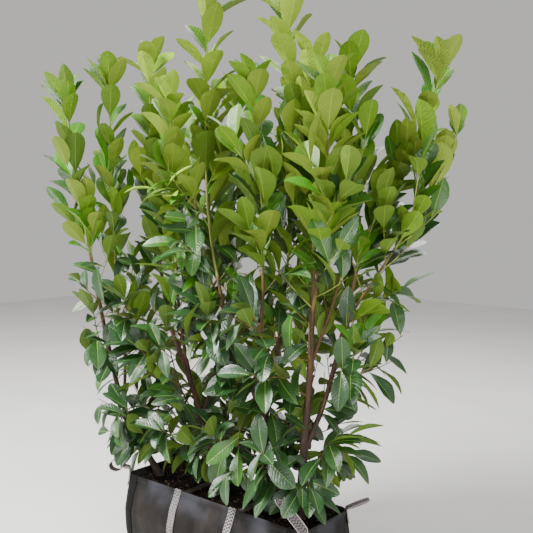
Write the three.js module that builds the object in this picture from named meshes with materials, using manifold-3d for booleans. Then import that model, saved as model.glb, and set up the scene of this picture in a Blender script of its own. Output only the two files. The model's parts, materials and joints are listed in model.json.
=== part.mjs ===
// Cherry laurel instant hedge: four many-stemmed shrubs grown together in one long planting bag.
// Millimetres, +Z up. X runs along the hedge, +Y is its back, and the origin is the middle of the
// bag's flat underside.
import * as THREE from "three";
import Module from "manifold-3d";
import { mergeVertices } from "three/addons/utils/BufferGeometryUtils.js";

const wasm = await Module();
wasm.setup();

// Clearance between neighbouring pieces, and the slack that a webbing keeps to the cloth under it
const GAP = 0.3;
const REST = 0.4;

// Planting bag: half length, half width, corner radius and belly of its long sides at each height
const BAG_LEVELS = [
  { z: 0, length: 480, width: 168, corner: 60, belly: 0 },
  { z: 36, length: 494, width: 184, corner: 66, belly: 4 },
  { z: 110, length: 506, width: 190, corner: 70, belly: 9 },
  { z: 190, length: 509, width: 191, corner: 70, belly: 11 },
  { z: 265, length: 505, width: 174, corner: 60, belly: 9 },
  { z: 310, length: 501, width: 157, corner: 48, belly: 4 },
  { z: 340, length: 500, width: 150, corner: 42, belly: 0 },
];
const BAG_WALL = 4;
const CORNER_FACETS = 3;
const SIDE_STATIONS = [-0.8, 0, 0.8];
const COMPOST_TOP = 310;
const RIM = BAG_LEVELS.at(-1).z;

// Webbing of the girth straps and the lifting loops
const WEB_WIDTH = 38;
const WEB_THICK = 2.5;
const STRAP_FOOT = 8;
const STRAP_PLACES = { strap_left: -164, strap_right: 148 };

// Lifting loops at the corners: length, height of the eye, tilt above level, sideways lean, and how
// far the eye rides up its tab. A flat eye is webbing folded on itself, with no way through.
const LOOPS = {
  loop_front_left: { side: [-1, -1], length: 84, eye: 42, tilt: 14, lean: 0, lift: 20 },
  loop_front_right: { side: [1, -1], length: 122, eye: 3, tilt: 88, lean: -0.5, lift: 0 },
  loop_back_right: { side: [1, 1], length: 98, eye: 3, tilt: 20, lean: 0, lift: 0 },
  loop_back_left: { side: [-1, 1], length: 100, eye: 3, tilt: 52, lean: 0.2, lift: 0 },
};
const FLAT_EYE = 10;
const LOOP_TAB = 52;
const TAB_OFF = 0.5;
const TAB_HEAD = 8;

// Limbs: each runs from the compost, or from a place along its parent, through two points to its
// tip. thick holds the radius at its start and tip, and flare widens a trunk's foot.
const FLARE_HEIGHT = 38;
const LIMBS = {
  trunk_left: {
    start: [-400, -38], via: [[-586, -84, 590], [-632, -148, 930]], tip: [-662, -212, 1330],
    thick: [14, 7], flare: 9,
  },
  trunk_mid_left: {
    start: [-50, 2], via: [[-255, 10, 770], [-395, 20, 1010]], tip: [-470, 26, 1310],
    thick: [15, 7], flare: 10,
  },
  trunk_mid_right: {
    start: [205, 2], via: [[171, 0, 690], [10, 0, 950]], tip: [-76, 0, 1240],
    thick: [15, 7], flare: 10,
  },
  trunk_right: {
    start: [370, 0], via: [[380, 0, 530], [412, 0, 880]], tip: [428, 0, 1300],
    thick: [18, 9], flare: 12,
  },
  bough_left_inner: {
    parent: "trunk_left", at: 0.33, via: [[-610, -66, 860], [-640, -78, 1040]],
    tip: [-632, -94, 1280], thick: [8, 5.5],
  },
  bough_left_back: {
    parent: "trunk_mid_left", at: 0.6, via: [[-410, 130, 1010], [-505, 210, 1130]],
    tip: [-560, 246, 1290], thick: [8, 5.5],
  },
  bough_mid_left_front: {
    parent: "trunk_mid_left", at: 0.43, via: [[-262, -26, 960], [-262, -50, 1120]],
    tip: [-252, -72, 1300], thick: [8, 5.5],
  },
  bough_mid_left_back: {
    parent: "trunk_mid_left", at: 0.3, via: [[-190, 108, 830], [-198, 180, 1050]],
    tip: [-212, 220, 1290], thick: [8, 5.5],
  },
  bough_mid_right_front: {
    parent: "trunk_mid_right", at: 0.48, via: [[196, -40, 1010], [230, -64, 1150]],
    tip: [250, -84, 1310], thick: [8, 5.5],
  },
  bough_mid_right_back: {
    parent: "trunk_mid_right", at: 0.33, via: [[150, 100, 830], [128, 176, 1040]],
    tip: [124, 222, 1290], thick: [8, 5.5],
  },
  bough_right_end: {
    parent: "trunk_right", at: 0.26, via: [[458, 42, 800], [508, 90, 1080]],
    tip: [536, 128, 1290], thick: [11, 7],
  },
  bough_right_side: {
    parent: "bough_right_end", at: 0.5, via: [[560, 66, 1130], [640, 88, 1260]],
    tip: [716, 108, 1380], thick: [6, 4.5],
  },
  bough_right_back: {
    parent: "trunk_right", at: 0.62, via: [[440, 50, 1060], [470, 84, 1190]],
    tip: [490, 108, 1340], thick: [7.5, 5],
  },
  bough_right_front: {
    parent: "trunk_right", at: 0.72, via: [[448, -30, 1140], [486, -54, 1240]],
    tip: [524, -74, 1370], thick: [7.5, 5],
  },
};

// Foliage masses. A shoot carries on from its limb's tip as an upright candle of leaves over a few
// side twigs. A spray leaves a limb sideways, at a share of the limb's length, and is bushier.
const SHOOTS = {
  shoot_left: { limb: "trunk_left", tip: [-733, -266, 1990] },
  shoot_left_inner: { limb: "bough_left_inner", tip: [-603, -138, 2070] },
  shoot_left_back: { limb: "bough_left_back", tip: [-622, 306, 1930] },
  shoot_mid_left: { limb: "trunk_mid_left", tip: [-530, 35, 2150] },
  shoot_mid_left_front: { limb: "bough_mid_left_front", tip: [-208, -136, 1950] },
  shoot_mid_left_back: { limb: "bough_mid_left_back", tip: [-240, 292, 2000] },
  shoot_tall_left: { limb: "trunk_mid_right", tip: [-120, 0, 2345] },
  shoot_mid_right_front: { limb: "bough_mid_right_front", tip: [244, -130, 1965] },
  shoot_mid_right_back: { limb: "bough_mid_right_back", tip: [120, 300, 1985] },
  shoot_tall_right: { limb: "trunk_right", tip: [282, 0, 2285] },
  shoot_right_front: { limb: "bough_right_front", tip: [584, -130, 1935] },
  shoot_right_back: { limb: "bough_right_back", tip: [478, 160, 2045] },
  shoot_right_end: { limb: "bough_right_end", tip: [808, 226, 2010] },
  shoot_right_side: { limb: "bough_right_side", tip: [870, 190, 1800] },
};
const SPRAYS = {
  upper_front_left: { limb: "trunk_left", at: 0.52, tip: [-520, -240, 1080] },
  upper_end_left: { limb: "bough_left_inner", at: 0.6, tip: [-690, 60, 1290] },
  upper_back_left: { limb: "bough_left_inner", at: 0.35, tip: [-610, 205, 1020] },
  upper_front_mid_left: { limb: "trunk_mid_left", at: 0.4, tip: [-390, -240, 1150] },
  upper_back_mid_left: { limb: "bough_mid_left_back", at: 0.4, tip: [-70, 255, 1130] },
  upper_front_middle: { limb: "trunk_mid_left", at: 0.3, tip: [-130, -240, 1040] },
  upper_front_mid_right: { limb: "trunk_mid_right", at: 0.55, tip: [110, -250, 1120] },
  upper_front_high: { limb: "trunk_mid_right", at: 0.9, tip: [10, -220, 1600] },
  upper_back_mid_right: { limb: "bough_mid_right_back", at: 0.45, tip: [270, 250, 1120] },
  upper_front_right: { limb: "trunk_right", at: 0.5, tip: [350, -255, 1150] },
  upper_corner_right: { limb: "trunk_right", at: 0.6, tip: [560, -200, 1130] },
  upper_back_right: { limb: "bough_right_end", at: 0.35, tip: [530, 255, 1060] },
  upper_end_right: { limb: "bough_right_end", at: 0.42, tip: [630, -10, 1010] },
  lower_end_left: { limb: "trunk_left", at: 0.22, tip: [-560, 90, 740] },
  lower_front_left: { limb: "trunk_left", at: 0.13, tip: [-440, -190, 640] },
  lower_back_left: { limb: "trunk_mid_left", at: 0.26, tip: [-380, 180, 700] },
  lower_front_mid_left: { limb: "trunk_mid_left", at: 0.13, tip: [-210, -180, 640] },
  lower_back_mid_left: { limb: "trunk_mid_left", at: 0.16, tip: [-110, 180, 640] },
  lower_front_mid_right: { limb: "trunk_mid_right", at: 0.16, tip: [70, -185, 640] },
  lower_back_mid_right: { limb: "trunk_mid_right", at: 0.2, tip: [170, 190, 640] },
  lower_front_right: { limb: "trunk_right", at: 0.14, tip: [330, -185, 620] },
  lower_back_right: { limb: "trunk_right", at: 0.18, tip: [420, 190, 620] },
  lower_end_right: { limb: "trunk_right", at: 0.2, tip: [530, -30, 660] },
};

// Growth habit of the two kinds of mass. Lengths are along the stem or twig.
const HABITS = {
  shoot: {
    stemThick: [8, 5], twigShare: 0.5, twigEvery: 3, leafStep: 37, firstNode: 40,
    twigLength: 130, twigAngle: 50, leafAngle: 42, droop: 0, mostLeaves: 18,
  },
  spray: {
    stemThick: [7.5, 4.6], twigShare: 0.9, twigEvery: 2, leafStep: 40, firstNode: 60,
    twigLength: 140, twigAngle: 62, leafAngle: 60, droop: 0.45, mostLeaves: 15,
  },
};
// Turn from each node to the next. Twigs and leaves stand near the middle of a face of their
// three-sided stem, on the face nearest to their turn, or else on the next one.
const TURN = 144;
const STEM_SIDES = 3;
const FACE_TURN = 360 / STEM_SIDES;
const TRIED_TURNS = [0, 16, -16, 120, 136, 104, -120, -104, -136];

// The crown's outline: half its length and half its depth at each height, and how far its corners
// fill the box of the two
const CROWN = [
  { z: 250, end: 560, side: 235 },
  { z: 650, end: 650, side: 320 },
  { z: 1000, end: 690, side: 360 },
  { z: 1350, end: 800, side: 400 },
  { z: 1700, end: 880, side: 420 },
  { z: 2500, end: 905, side: 425 },
];
const CROWN_CORNER = 1.75;

// Leaf: length at the top and foot of the hedge, width as a share of length, thickness at the keel
// and where the keel lies, how far the root goes past its twig's middle, how far the edges stand
// above the midrib, how far its upper side turns skywards, and the spread of its sizes and angles
const LEAF_LENGTH = { low: 174, high: 190 };
const LEAF_WIDTH = 0.46;
const LEAF_THICK = 3.2;
const LEAF_KEEL = 0.2;
const LEAF_SINK = 0.8;
const LEAF_FOLD = 0.1;
const LEAF_WIDEST = 0.56;
const LEAF_LIFT = 0.8;
const LEAF_SIZES = [0.88, 1.08];
const LEAF_TILTS = [0.85, 1.15];
const LEAF_DROOPS = [0.4, 1.4];
const TIP_LEAF_ANGLE = 30;
const TIP_LEAVES = [0, 1, 2];

// Twig: radius at its foot and tip, spread of its length, rise, and the turn of the leaf that ends it
const TWIG_THICK = [2.8, 2.3];
const TWIG_LENGTHS = [0.75, 1.15];
const TWIG_RISE = 0.25;
const TWIG_END_TURN = 72;
const TURN_SPREAD = 12;

// Clearances of leaves and twigs from other masses, limbs, loops, other leaves and twigs, how far
// the topmost leaves are rooted below the tip, and how far apart
const SPACE_MARGIN = 3;
const LIMB_MARGIN = 9;
const LOOP_MARGIN = 24;
const LEAF_SPACING = 14;
const TWIG_SPACING = 13;
const TIP_INSET = 10;
const TIP_LEAF_STEP = 9;
const BARE_TIP = 40;
const RIM_MARGIN = 16;
const COMPOST_MARGIN = 12;
const LOWEST_HANG = 70;
const INSIDE_RIM = { x: 480, y: 132 };
const OUTSIDE_BAG = { x: 540, y: 230 };
const STEM_STEPS = 3;
const SEED = 49979687;
const EVENNESS = 0.05;
const LEAF_EVENNESS = 0.2;
const TRIED_SIZES = [1, 0.82, 0.68];
const TRIED_TILTS = [1, 1.4, 0.7];

const COLOURS = {
  bag: [0x3b3634, 0.55], compost: [0x1f1712, 0.95], webbing: [0x8f8a88, 0.8],
  loop: [0x7d7276, 0.8], trunk: [0x5a3524, 0.75], bough: [0x6b4a2c, 0.7],
  shootLeaves: [0x7fa03a, 0.45], sprayLeaves: [0x2f6a2c, 0.35],
};

const hedge = new THREE.Group();

function addPiece(name, geometry, finish) {
  const [color, roughness] = COLOURS[finish];
  const material = new THREE.MeshStandardMaterial({ color, roughness, metalness: 0 });
  const mesh = new THREE.Mesh(geometry, material);
  mesh.name = name;
  hedge.add(mesh);
}

const vector = (p) => new THREE.Vector3(...p);
const radians = THREE.MathUtils.degToRad;
const mix = THREE.MathUtils.lerp;

// Seeded random numbers from 0 to 1
function seeded(seed) {
  let state = seed >>> 0;
  return () => {
    state = (state + 0x6d2b79f5) >>> 0;
    let t = state;
    t = Math.imul(t ^ (t >>> 15), t | 1);
    t ^= t + Math.imul(t ^ (t >>> 7), t | 61);
    return ((t ^ (t >>> 14)) >>> 0) / 4294967296;
  };
}

// A closed geometry as a solid, with its faces pointing out
function solid(geometry) {
  const bare = geometry.clone();
  bare.deleteAttribute("normal");
  bare.deleteAttribute("uv");
  const merged = mergeVertices(bare, 1e-4);
  const kept = [];
  const index = merged.index.array;
  for (let i = 0; i < index.length; i += 3) {
    const [a, b, c] = index.slice(i, i + 3);
    if (a !== b && b !== c && c !== a) kept.push(a, b, c);
  }
  const shape = { numProp: 3, vertProperties: merged.attributes.position.array };
  const made = new wasm.Manifold(new wasm.Mesh({ ...shape, triVerts: new Uint32Array(kept) }));
  if (made.volume() > 0) return made;
  for (let i = 0; i < kept.length; i += 3) [kept[i], kept[i + 1]] = [kept[i + 1], kept[i]];
  return new wasm.Manifold(new wasm.Mesh({ ...shape, triVerts: new Uint32Array(kept) }));
}

// The largest body of a solid as a geometry: loose scraps and sealed hollows are dropped
function largest(shape, evenness = EVENNESS) {
  const bodies = shape.simplify(evenness).decompose();
  const kept = bodies.reduce((a, b) => (b.volume() > a.volume() ? b : a));
  const mesh = kept.getMesh();
  const geometry = new THREE.BufferGeometry();
  geometry.setAttribute("position", new THREE.BufferAttribute(mesh.vertProperties, 3));
  geometry.setIndex(new THREE.BufferAttribute(mesh.triVerts, 1));
  return geometry;
}

// Bag and compost
const stationsOf = (count) => Array.from({ length: count + 1 }, (_, i) => i / count);

// The bag's outline at one level, inset by a wall, turning left from its front right corner
function outline(level, inset) {
  const points = [];
  const round = level.corner - inset;
  const corners = [[1, -1, -90], [1, 1, 0], [-1, 1, 90], [-1, -1, 180]];
  for (const [sideX, sideY, from] of corners) {
    const middle = [sideX * (level.length - level.corner), sideY * (level.width - level.corner)];
    for (const share of stationsOf(CORNER_FACETS)) {
      const turn = radians(from + 90 * share);
      points.push([middle[0] + round * Math.cos(turn), middle[1] + round * Math.sin(turn)]);
    }
    if (sideX !== sideY) continue;
    const half = level.length - level.corner;
    for (const station of SIDE_STATIONS) {
      const bulge = level.belly * (1 - station ** 4);
      points.push([-sideY * half * station, sideY * (level.width - inset + bulge)]);
    }
  }
  return points;
}

// A closed form through stacked outlines, each an array of [x, y] with a height
function stacked(rings) {
  const ends = [rings[0], ...rings, rings.at(-1)];
  const turns = rings[0].points.length;
  const profile = ends.map((_, j) => new THREE.Vector2(1, j));
  const form = new THREE.LatheGeometry(profile, turns);
  const position = form.getAttribute("position");
  for (let i = 0; i <= turns; i += 1) {
    ends.forEach((ring, j) => {
      const pole = j === 0 || j === ends.length - 1;
      const [x, y] = pole ? [0, 0] : ring.points[i % turns];
      position.setXYZ(i * ends.length + j, x, y, ring.z);
    });
  }
  return form;
}

// A level's outline at any height between two of the bag's levels
function levelAt(z) {
  const upper = Math.max(1, BAG_LEVELS.findIndex((level) => level.z >= z));
  const [low, high] = [BAG_LEVELS[upper - 1], BAG_LEVELS[upper]];
  const share = (z - low.z) / (high.z - low.z);
  const keys = ["z", "length", "width", "corner", "belly"];
  return Object.fromEntries(keys.map((key) => [key, mix(low[key], high[key], share)]));
}

const ringAt = (level, inset, z = level.z) => ({ points: outline(level, inset), z });

function plantingBag() {
  const outer = BAG_LEVELS.map((level) => ringAt(level, 0));
  const inner = BAG_LEVELS.slice(1).map((level) => ringAt(level, BAG_WALL)).reverse();
  return largest(solid(stacked([...outer, ...inner, ringAt(BAG_LEVELS[0], BAG_WALL, BAG_WALL)])));
}

// The compost's rings run downwards like the bag's inner wall, so that the faces of both match
function compost() {
  const inset = BAG_WALL + REST;
  const inside = BAG_LEVELS.filter((level) => level.z > 0 && level.z <= COMPOST_TOP).reverse();
  const floor = ringAt(BAG_LEVELS[0], inset + REST, BAG_WALL + REST);
  return largest(solid(stacked([...inside.map((level) => ringAt(level, inset)), floor])));
}

// Half width of the bag's outer wall at a place along its front, at one of its levels
function wallAt(level, x) {
  const front = outline(level, 0).filter(([, y]) => y < 0).sort((a, b) => a[0] - b[0]);
  const right = front.findIndex((point) => point[0] >= x);
  const [a, b] = [front[right - 1], front[right]];
  return -mix(a[1], b[1], (x - a[0]) / (b[0] - a[0]));
}

// A ribbon outline of even thickness along a line of [u, v] points
function ribbon(line, thick) {
  const sides = [[], []];
  line.forEach((point, i) => {
    const before = line[Math.max(0, i - 1)];
    const after = line[Math.min(line.length - 1, i + 1)];
    const along = new THREE.Vector2(after[0] - before[0], after[1] - before[1]).normalize();
    const across = [(-along.y * thick) / 2, (along.x * thick) / 2];
    sides[0].push(new THREE.Vector2(point[0] + across[0], point[1] + across[1]));
    sides[1].unshift(new THREE.Vector2(point[0] - across[0], point[1] - across[1]));
  });
  return new THREE.Shape([...sides[0], ...sides[1]]);
}

// A girth strap: up the front wall, over the rim, across the compost and down the back
function girthStrap(x) {
  const off = REST + WEB_THICK / 2;
  const widest = (level) =>
    Math.max(wallAt(level, x - WEB_WIDTH / 2), wallAt(level, x + WEB_WIDTH / 2));
  const foot = levelAt(STRAP_FOOT);
  const climb = [foot, ...BAG_LEVELS.slice(1)].map((level) => [-widest(level) - off * 1.15, level.z]);
  const rimY = climb.at(-1)[0];
  const over = [
    [rimY + 1.2, RIM + off + 0.8],
    [rimY + off * 2 + BAG_WALL - 1, RIM + off + 0.8],
    [rimY + off * 2 + BAG_WALL + 5, RIM - 6],
    [rimY + off * 2 + BAG_WALL + 9, COMPOST_TOP + off + 7],
    [rimY + off * 2 + BAG_WALL + 17, COMPOST_TOP + off],
  ];
  const half = [...climb, ...over];
  const back = half.map(([y, z]) => [-y, z]).reverse();
  const shape = ribbon([...half, ...back], WEB_THICK);
  const form = new THREE.ExtrudeGeometry(shape, { depth: WEB_WIDTH, bevelEnabled: false });
  const frame = new THREE.Matrix4().makeBasis(vector([0, 1, 0]), vector([0, 0, 1]), vector([1, 0, 0]));
  return form.applyMatrix4(frame).translate(x - WEB_WIDTH / 2, 0, 0);
}

// The middle of a corner's middle facet at one of the bag's levels
function cornerAt(level, [sideX, sideY]) {
  const reach = (level.corner * Math.cos(radians(45 / CORNER_FACETS))) / Math.SQRT2;
  const x = sideX * (level.length - level.corner + reach);
  const y = sideY * (level.width - level.corner + reach);
  return new THREE.Vector3(x, y, level.z);
}

// A lifting loop: a tab sewn down the corner and an eye of webbing above the rim
function liftingLoop({ side, length, eye, tilt, lean, lift }) {
  const rim = cornerAt(levelAt(RIM), side);
  const low = cornerAt(levelAt(RIM - LOOP_TAB), side);
  const out = new THREE.Vector3(side[0], side[1], 0).normalize();
  const along = new THREE.Vector3(-out.y, out.x, 0);
  const off = TAB_OFF;
  const slope = low.clone().sub(rim).dot(out);
  const head = RIM + TAB_HEAD + lift;
  const tab = new THREE.Shape([
    new THREE.Vector2(off, RIM - 1),
    new THREE.Vector2(off, head),
    new THREE.Vector2(off + WEB_THICK, head),
    new THREE.Vector2(off + WEB_THICK, RIM - 1),
    new THREE.Vector2(off + WEB_THICK + slope, RIM - LOOP_TAB),
    new THREE.Vector2(off + slope, RIM - LOOP_TAB),
  ]);
  const [halfLong, halfHigh] = [length / 2, eye / 2 + WEB_THICK];
  const turn = radians(tilt);
  const shift = halfLong - WEB_THICK / 2;
  const centreX = off + WEB_THICK / 2 + shift * Math.cos(turn);
  const centreY = head - 3 + shift * Math.sin(turn);
  const ring = new THREE.Shape();
  ring.absellipse(centreX, centreY, halfLong, halfHigh, 0, Math.PI * 2, false, turn);
  const hole = new THREE.Path();
  const [holeLong, holeHigh] = [halfLong - WEB_THICK, halfHigh - WEB_THICK];
  hole.absellipse(centreX, centreY, holeLong, holeHigh, 0, Math.PI * 2, true, turn);
  if (eye > FLAT_EYE) ring.holes.push(hole);
  const options = { depth: WEB_WIDTH, bevelEnabled: false, curveSegments: 9 };
  const joined = solid(new THREE.ExtrudeGeometry(ring, options)).add(
    solid(new THREE.ExtrudeGeometry(tab, options)),
  );
  const geometry = largest(joined);
  geometry.translate(0, 0, -WEB_WIDTH / 2);
  const position = geometry.getAttribute("position");
  for (let i = 0; i < position.count; i += 1) {
    const height = Math.max(0, position.getY(i) - RIM - 6);
    const place = rim.clone().setZ(0);
    place.addScaledVector(out, position.getX(i));
    place.addScaledVector(along, -position.getZ(i) - lean * height * side[0] * side[1]);
    position.setXYZ(i, place.x, place.y, position.getY(i));
  }
  return geometry;
}

// Limbs
const TRUNK_SIDES = 8;
const BOUGH_SIDES = 6;
const LIMB_STEP = 140;

// A sideways direction for a way that something runs
function asideOf(way) {
  const upright = Math.abs(way.z) > 0.9 * way.length();
  return new THREE.Vector3().crossVectors(way, vector(upright ? [1, 0, 0] : [0, 0, 1])).normalize();
}

// The part of a sideways direction that is square to a run
const squareTo = (run, aside) => aside.clone().addScaledVector(run, -aside.dot(run)).normalize();

// A tapering tube of any number of sides along a curve, with the middle of a side facing aside
function tapered(curve, radiusAt, sides, steps, aside) {
  const form = new THREE.CylinderGeometry(1, 1, 1, sides, steps);
  const position = form.getAttribute("position");
  for (let i = 0; i < position.count; i += 1) {
    const share = Math.round((position.getY(i) + 0.5) * steps) / steps;
    const run = curve.getTangentAt(share);
    const first = squareTo(run, aside);
    const second = new THREE.Vector3().crossVectors(run, first);
    const place = curve.getPointAt(share);
    place.addScaledVector(second, -position.getX(i) * radiusAt(share));
    place.addScaledVector(first, -position.getZ(i) * radiusAt(share));
    position.setXYZ(i, place.x, place.y, place.z);
  }
  return form;
}

const limbs = {};
for (const [name, size] of Object.entries(LIMBS)) {
  const parent = size.parent ? limbs[size.parent] : null;
  const foot = COMPOST_TOP + GAP;
  const start = parent ? parent.curve.getPointAt(size.at) : vector([...size.start, foot]);
  const curve = new THREE.CatmullRomCurve3([start, ...size.via.map(vector), vector(size.tip)]);
  const height = curve.getLength();
  const radiusAt = (share) => {
    const flare = size.flare ? size.flare * Math.exp((-share * height) / FLARE_HEIGHT) : 0;
    return mix(...size.thick, share) + flare;
  };
  const steps = Math.max(4, Math.round(height / LIMB_STEP));
  const sides = parent ? BOUGH_SIDES : TRUNK_SIDES;
  limbs[name] = { name, parent, curve, radiusAt, steps, sides, aside: vector([0, 1, 0]) };
}

// A trunk's flared foot needs shorter steps than the rest of it
class FootedCurve extends THREE.Curve {
  constructor(curve) {
    super();
    this.curve = curve;
  }
  share(t) {
    return mix(t, t * t, 0.75);
  }
  getPoint(t, target) {
    return this.curve.getPointAt(this.share(t), target);
  }
  getPointAt(t, target) {
    return this.getPoint(t, target);
  }
  getTangentAt(t, target) {
    return this.curve.getTangentAt(this.share(t), target);
  }
}

function limbForm(limb, extra = 0) {
  const { sides, steps, aside } = limb;
  if (limb.parent) return tapered(limb.curve, (t) => limb.radiusAt(t) + extra, sides, steps, aside);
  const curve = new FootedCurve(limb.curve);
  const radiusAt = (t) => limb.radiusAt(curve.share(t)) + extra;
  const form = tapered(curve, radiusAt, sides, steps, aside);
  const position = form.getAttribute("position");
  const foot = limb.curve.getPointAt(0).z;
  for (let i = 0; i < position.count; i += 1) {
    const low = Math.abs(position.getZ(i) - foot) < limb.radiusAt(0);
    const inFoot = low && position.getZ(i) < foot + limb.radiusAt(0) * 0.8;
    if (inFoot) position.setZ(i, foot);
  }
  return form;
}

// What a limb takes up with its clearance, for cutting whatever starts from inside it
const clearanceOf = (limb) => solid(limbForm(limb, GAP / Math.cos(Math.PI / limb.sides)));

function addLimbs() {
  for (const limb of Object.values(limbs)) {
    const form = limbForm(limb);
    const cut = limb.parent ? largest(solid(form).subtract(clearanceOf(limb.parent))) : form;
    addPiece(limb.name, cut, limb.parent ? "bough" : "trunk");
  }
}

// Foliage: the stem of each mass comes first, because a mass's space is what lies nearer to its own
// stem than to any other
function massOf(name, size, kind, number) {
  const limb = limbs[size.limb];
  const habit = HABITS[kind];
  const tip = vector(size.tip);
  const along = size.at === undefined;
  const leaves = along ? limb.curve.getTangentAt(1) : new THREE.Vector3(0, 0, 1);
  const start = limb.curve.getPointAt(along ? 1 : size.at);
  if (along) start.addScaledVector(leaves, GAP);
  const length = start.distanceTo(tip);
  const flat = tip.clone().sub(start).setZ(0).multiplyScalar(1 / length);
  const set = along ? leaves : flat.multiplyScalar(1.6).add(vector([0, 0, 0.5])).normalize();
  const bend = start.clone().addScaledVector(set, length / 3);
  const rise = tip.clone().sub(bend).normalize().add(vector([0, 0, along ? 0.9 : 0.4])).normalize();
  const turn = tip.clone().addScaledVector(rise, -length / 3);
  const curve = new THREE.CubicBezierCurve3(start, bend, turn, tip);
  const home = curve.getSpacedPoints(7);
  const aside = asideOf(tip.clone().sub(start));
  const random = seeded(SEED * (number + 3));
  return { name, kind, habit, limb, along, curve, home, aside, random };
}

const masses = [
  ...Object.entries(SHOOTS).map(([name, size], i) => massOf(name, size, "shoot", i)),
  ...Object.entries(SPRAYS).map(([name, size], i) => massOf(name, size, "spray", i + 40)),
];

const span = new THREE.Line3();
const nearest = new THREE.Vector3();
function distanceTo(points, place) {
  let least = Infinity;
  for (let i = 1; i < points.length; i += 1) {
    span.set(points[i - 1], points[i]).closestPointToPoint(place, true, nearest);
    least = Math.min(least, nearest.distanceToSquared(place));
  }
  return Math.sqrt(least);
}

const limbLines = Object.values(limbs).map((limb) => ({
  limb, points: limb.curve.getSpacedPoints(10), thick: limb.radiusAt(0.06),
}));

const loopPlaces = Object.values(LOOPS).map(({ side, length, tilt, lean, lift }) => {
  const out = length / 2;
  const rim = cornerAt(levelAt(RIM), side);
  const flat = (out * Math.cos(radians(tilt))) / Math.SQRT2;
  const shift = vector([side[0] * flat, side[1] * flat, lift + out * Math.sin(radians(tilt))]);
  shift.x -= (Math.abs(lean) * out) / Math.SQRT2;
  return { centre: rim.add(shift), radius: out + LOOP_MARGIN };
});

// Whether a point keeps clear of the compost, the bag's rim, the straps and the loops
function clearOfPlanter(place) {
  const [x, y] = [Math.abs(place.x), Math.abs(place.y)];
  if (loopPlaces.some((loop) => loop.centre.distanceTo(place) < loop.radius)) return false;
  if (place.z > RIM + RIM_MARGIN) return true;
  if (place.z < RIM - LOWEST_HANG) return false;
  const overStrap = Object.values(STRAP_PLACES).some((at) => Math.abs(place.x - at) < WEB_WIDTH);
  if (overStrap && y < OUTSIDE_BAG.y) return false;
  if (x < INSIDE_RIM.x && y < INSIDE_RIM.y) return place.z > COMPOST_TOP + COMPOST_MARGIN;
  return x > OUTSIDE_BAG.x || y > OUTSIDE_BAG.y;
}

function inCrown({ x, y, z }) {
  const upper = Math.max(1, CROWN.findIndex((level) => level.z >= z));
  const [low, high] = [CROWN[upper - 1], CROWN[upper]];
  const share = (z - low.z) / (high.z - low.z);
  const across = Math.abs(x) / mix(low.end, high.end, share);
  const deep = Math.abs(y) / mix(low.side, high.side, share);
  return across < 1 && deep < 1 && across + deep < CROWN_CORNER;
}

function inSpace(mass, place) {
  if (!inCrown(place) || !clearOfPlanter(place)) return false;
  const own = distanceTo(mass.home, place);
  for (const other of masses) {
    if (other === mass) continue;
    if (other.home[3].distanceTo(place) > own + 700) continue;
    if (distanceTo(other.home, place) < own + SPACE_MARGIN * 2) return false;
  }
  return limbLines.every(({ limb, points, thick }) => {
    const atRoot = limb === mass.limb && mass.curve.getPointAt(0).distanceTo(place) < thick + 14;
    return atRoot || distanceTo(points, place) > thick + LIMB_MARGIN;
  });
}

// A leaf's frame: its length along the blade, its width across, and its upper side
function leafFrame(base, along, upper, length) {
  const across = new THREE.Vector3().crossVectors(along, upper).normalize();
  const up = new THREE.Vector3().crossVectors(across, along).normalize();
  return { base, along, across, up, length, half: (length * LEAF_WIDTH) / 2 };
}

function leafPlace({ base, along, across, up, length, half }, share, side) {
  const widest = share < LEAF_WIDEST ? share / LEAF_WIDEST : (1 - share) / (1 - LEAF_WIDEST);
  const offset = side * half * widest;
  const place = base.clone().addScaledVector(along, length * share).addScaledVector(across, offset);
  return place.addScaledVector(up, Math.abs(offset) * LEAF_FOLD * 2);
}

// A blade folded along its midrib, thickest at the keel of its midrib and rooted past the middle of
// its twig
function blade(leaf) {
  const { base, up, along, length } = leaf;
  const root = base.clone().addScaledVector(along, -LEAF_SINK);
  const left = leafPlace(leaf, LEAF_WIDEST, -1);
  const right = leafPlace(leaf, LEAF_WIDEST, 1);
  const keel = base.clone().addScaledVector(along, length * LEAF_KEEL);
  keel.addScaledVector(up, -LEAF_THICK);
  const tip = base.clone().addScaledVector(along, length);
  const corners = [root, left, right, keel, tip];
  const faces = [[0, 4, 1], [0, 2, 4], [0, 1, 3], [0, 3, 2], [4, 3, 1], [4, 2, 3]];
  const geometry = new THREE.BufferGeometry().setFromPoints(corners);
  return solid(geometry.setIndex(faces.flat()));
}

const BLADE_SHARES = [0.14, 0.28, 0.42, 0.56, 0.7, 0.85, 1];
const BLADE_SIDES = [-1, -0.5, 0, 0.5, 1];
const bladePlaces = (leaf) =>
  BLADE_SHARES.flatMap((share) => BLADE_SIDES.map((side) => leafPlace(leaf, share, side)));

// Whether a leaf stays in its mass's space, clear of the mass's other leaves and twigs
function leafFits(mass, grown, own, places) {
  const apart = (other) => other.every((theirs) =>
    places.every((ours) => ours.distanceToSquared(theirs) > LEAF_SPACING ** 2));
  if (!places.every((place) => inSpace(mass, place))) return false;
  const lines = [mass.home, ...grown.twigs.map((twig) => twig.ends)];
  const offTwigs = lines.every((points) => {
    const tested = points === own ? places.slice(BLADE_SIDES.length) : places;
    return tested.every((place) => distanceTo(points, place) > TWIG_SPACING);
  });
  return offTwigs && grown.blades.every((leaf) => apart(leaf.places));
}

// Whether a blade would cut through another leaf
const crosses = (form, blades) => blades.some((leaf) => !form.intersect(leaf.form).isEmpty());

// A direction that leaves a node of a stem at an angle, turned round the stem
function branching({ run, aside }, turn, angle) {
  const out = squareTo(run, aside).applyAxisAngle(run, radians(turn));
  const way = run.clone().multiplyScalar(Math.cos(radians(angle)));
  return way.addScaledVector(out, Math.sin(radians(angle))).normalize();
}

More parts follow.
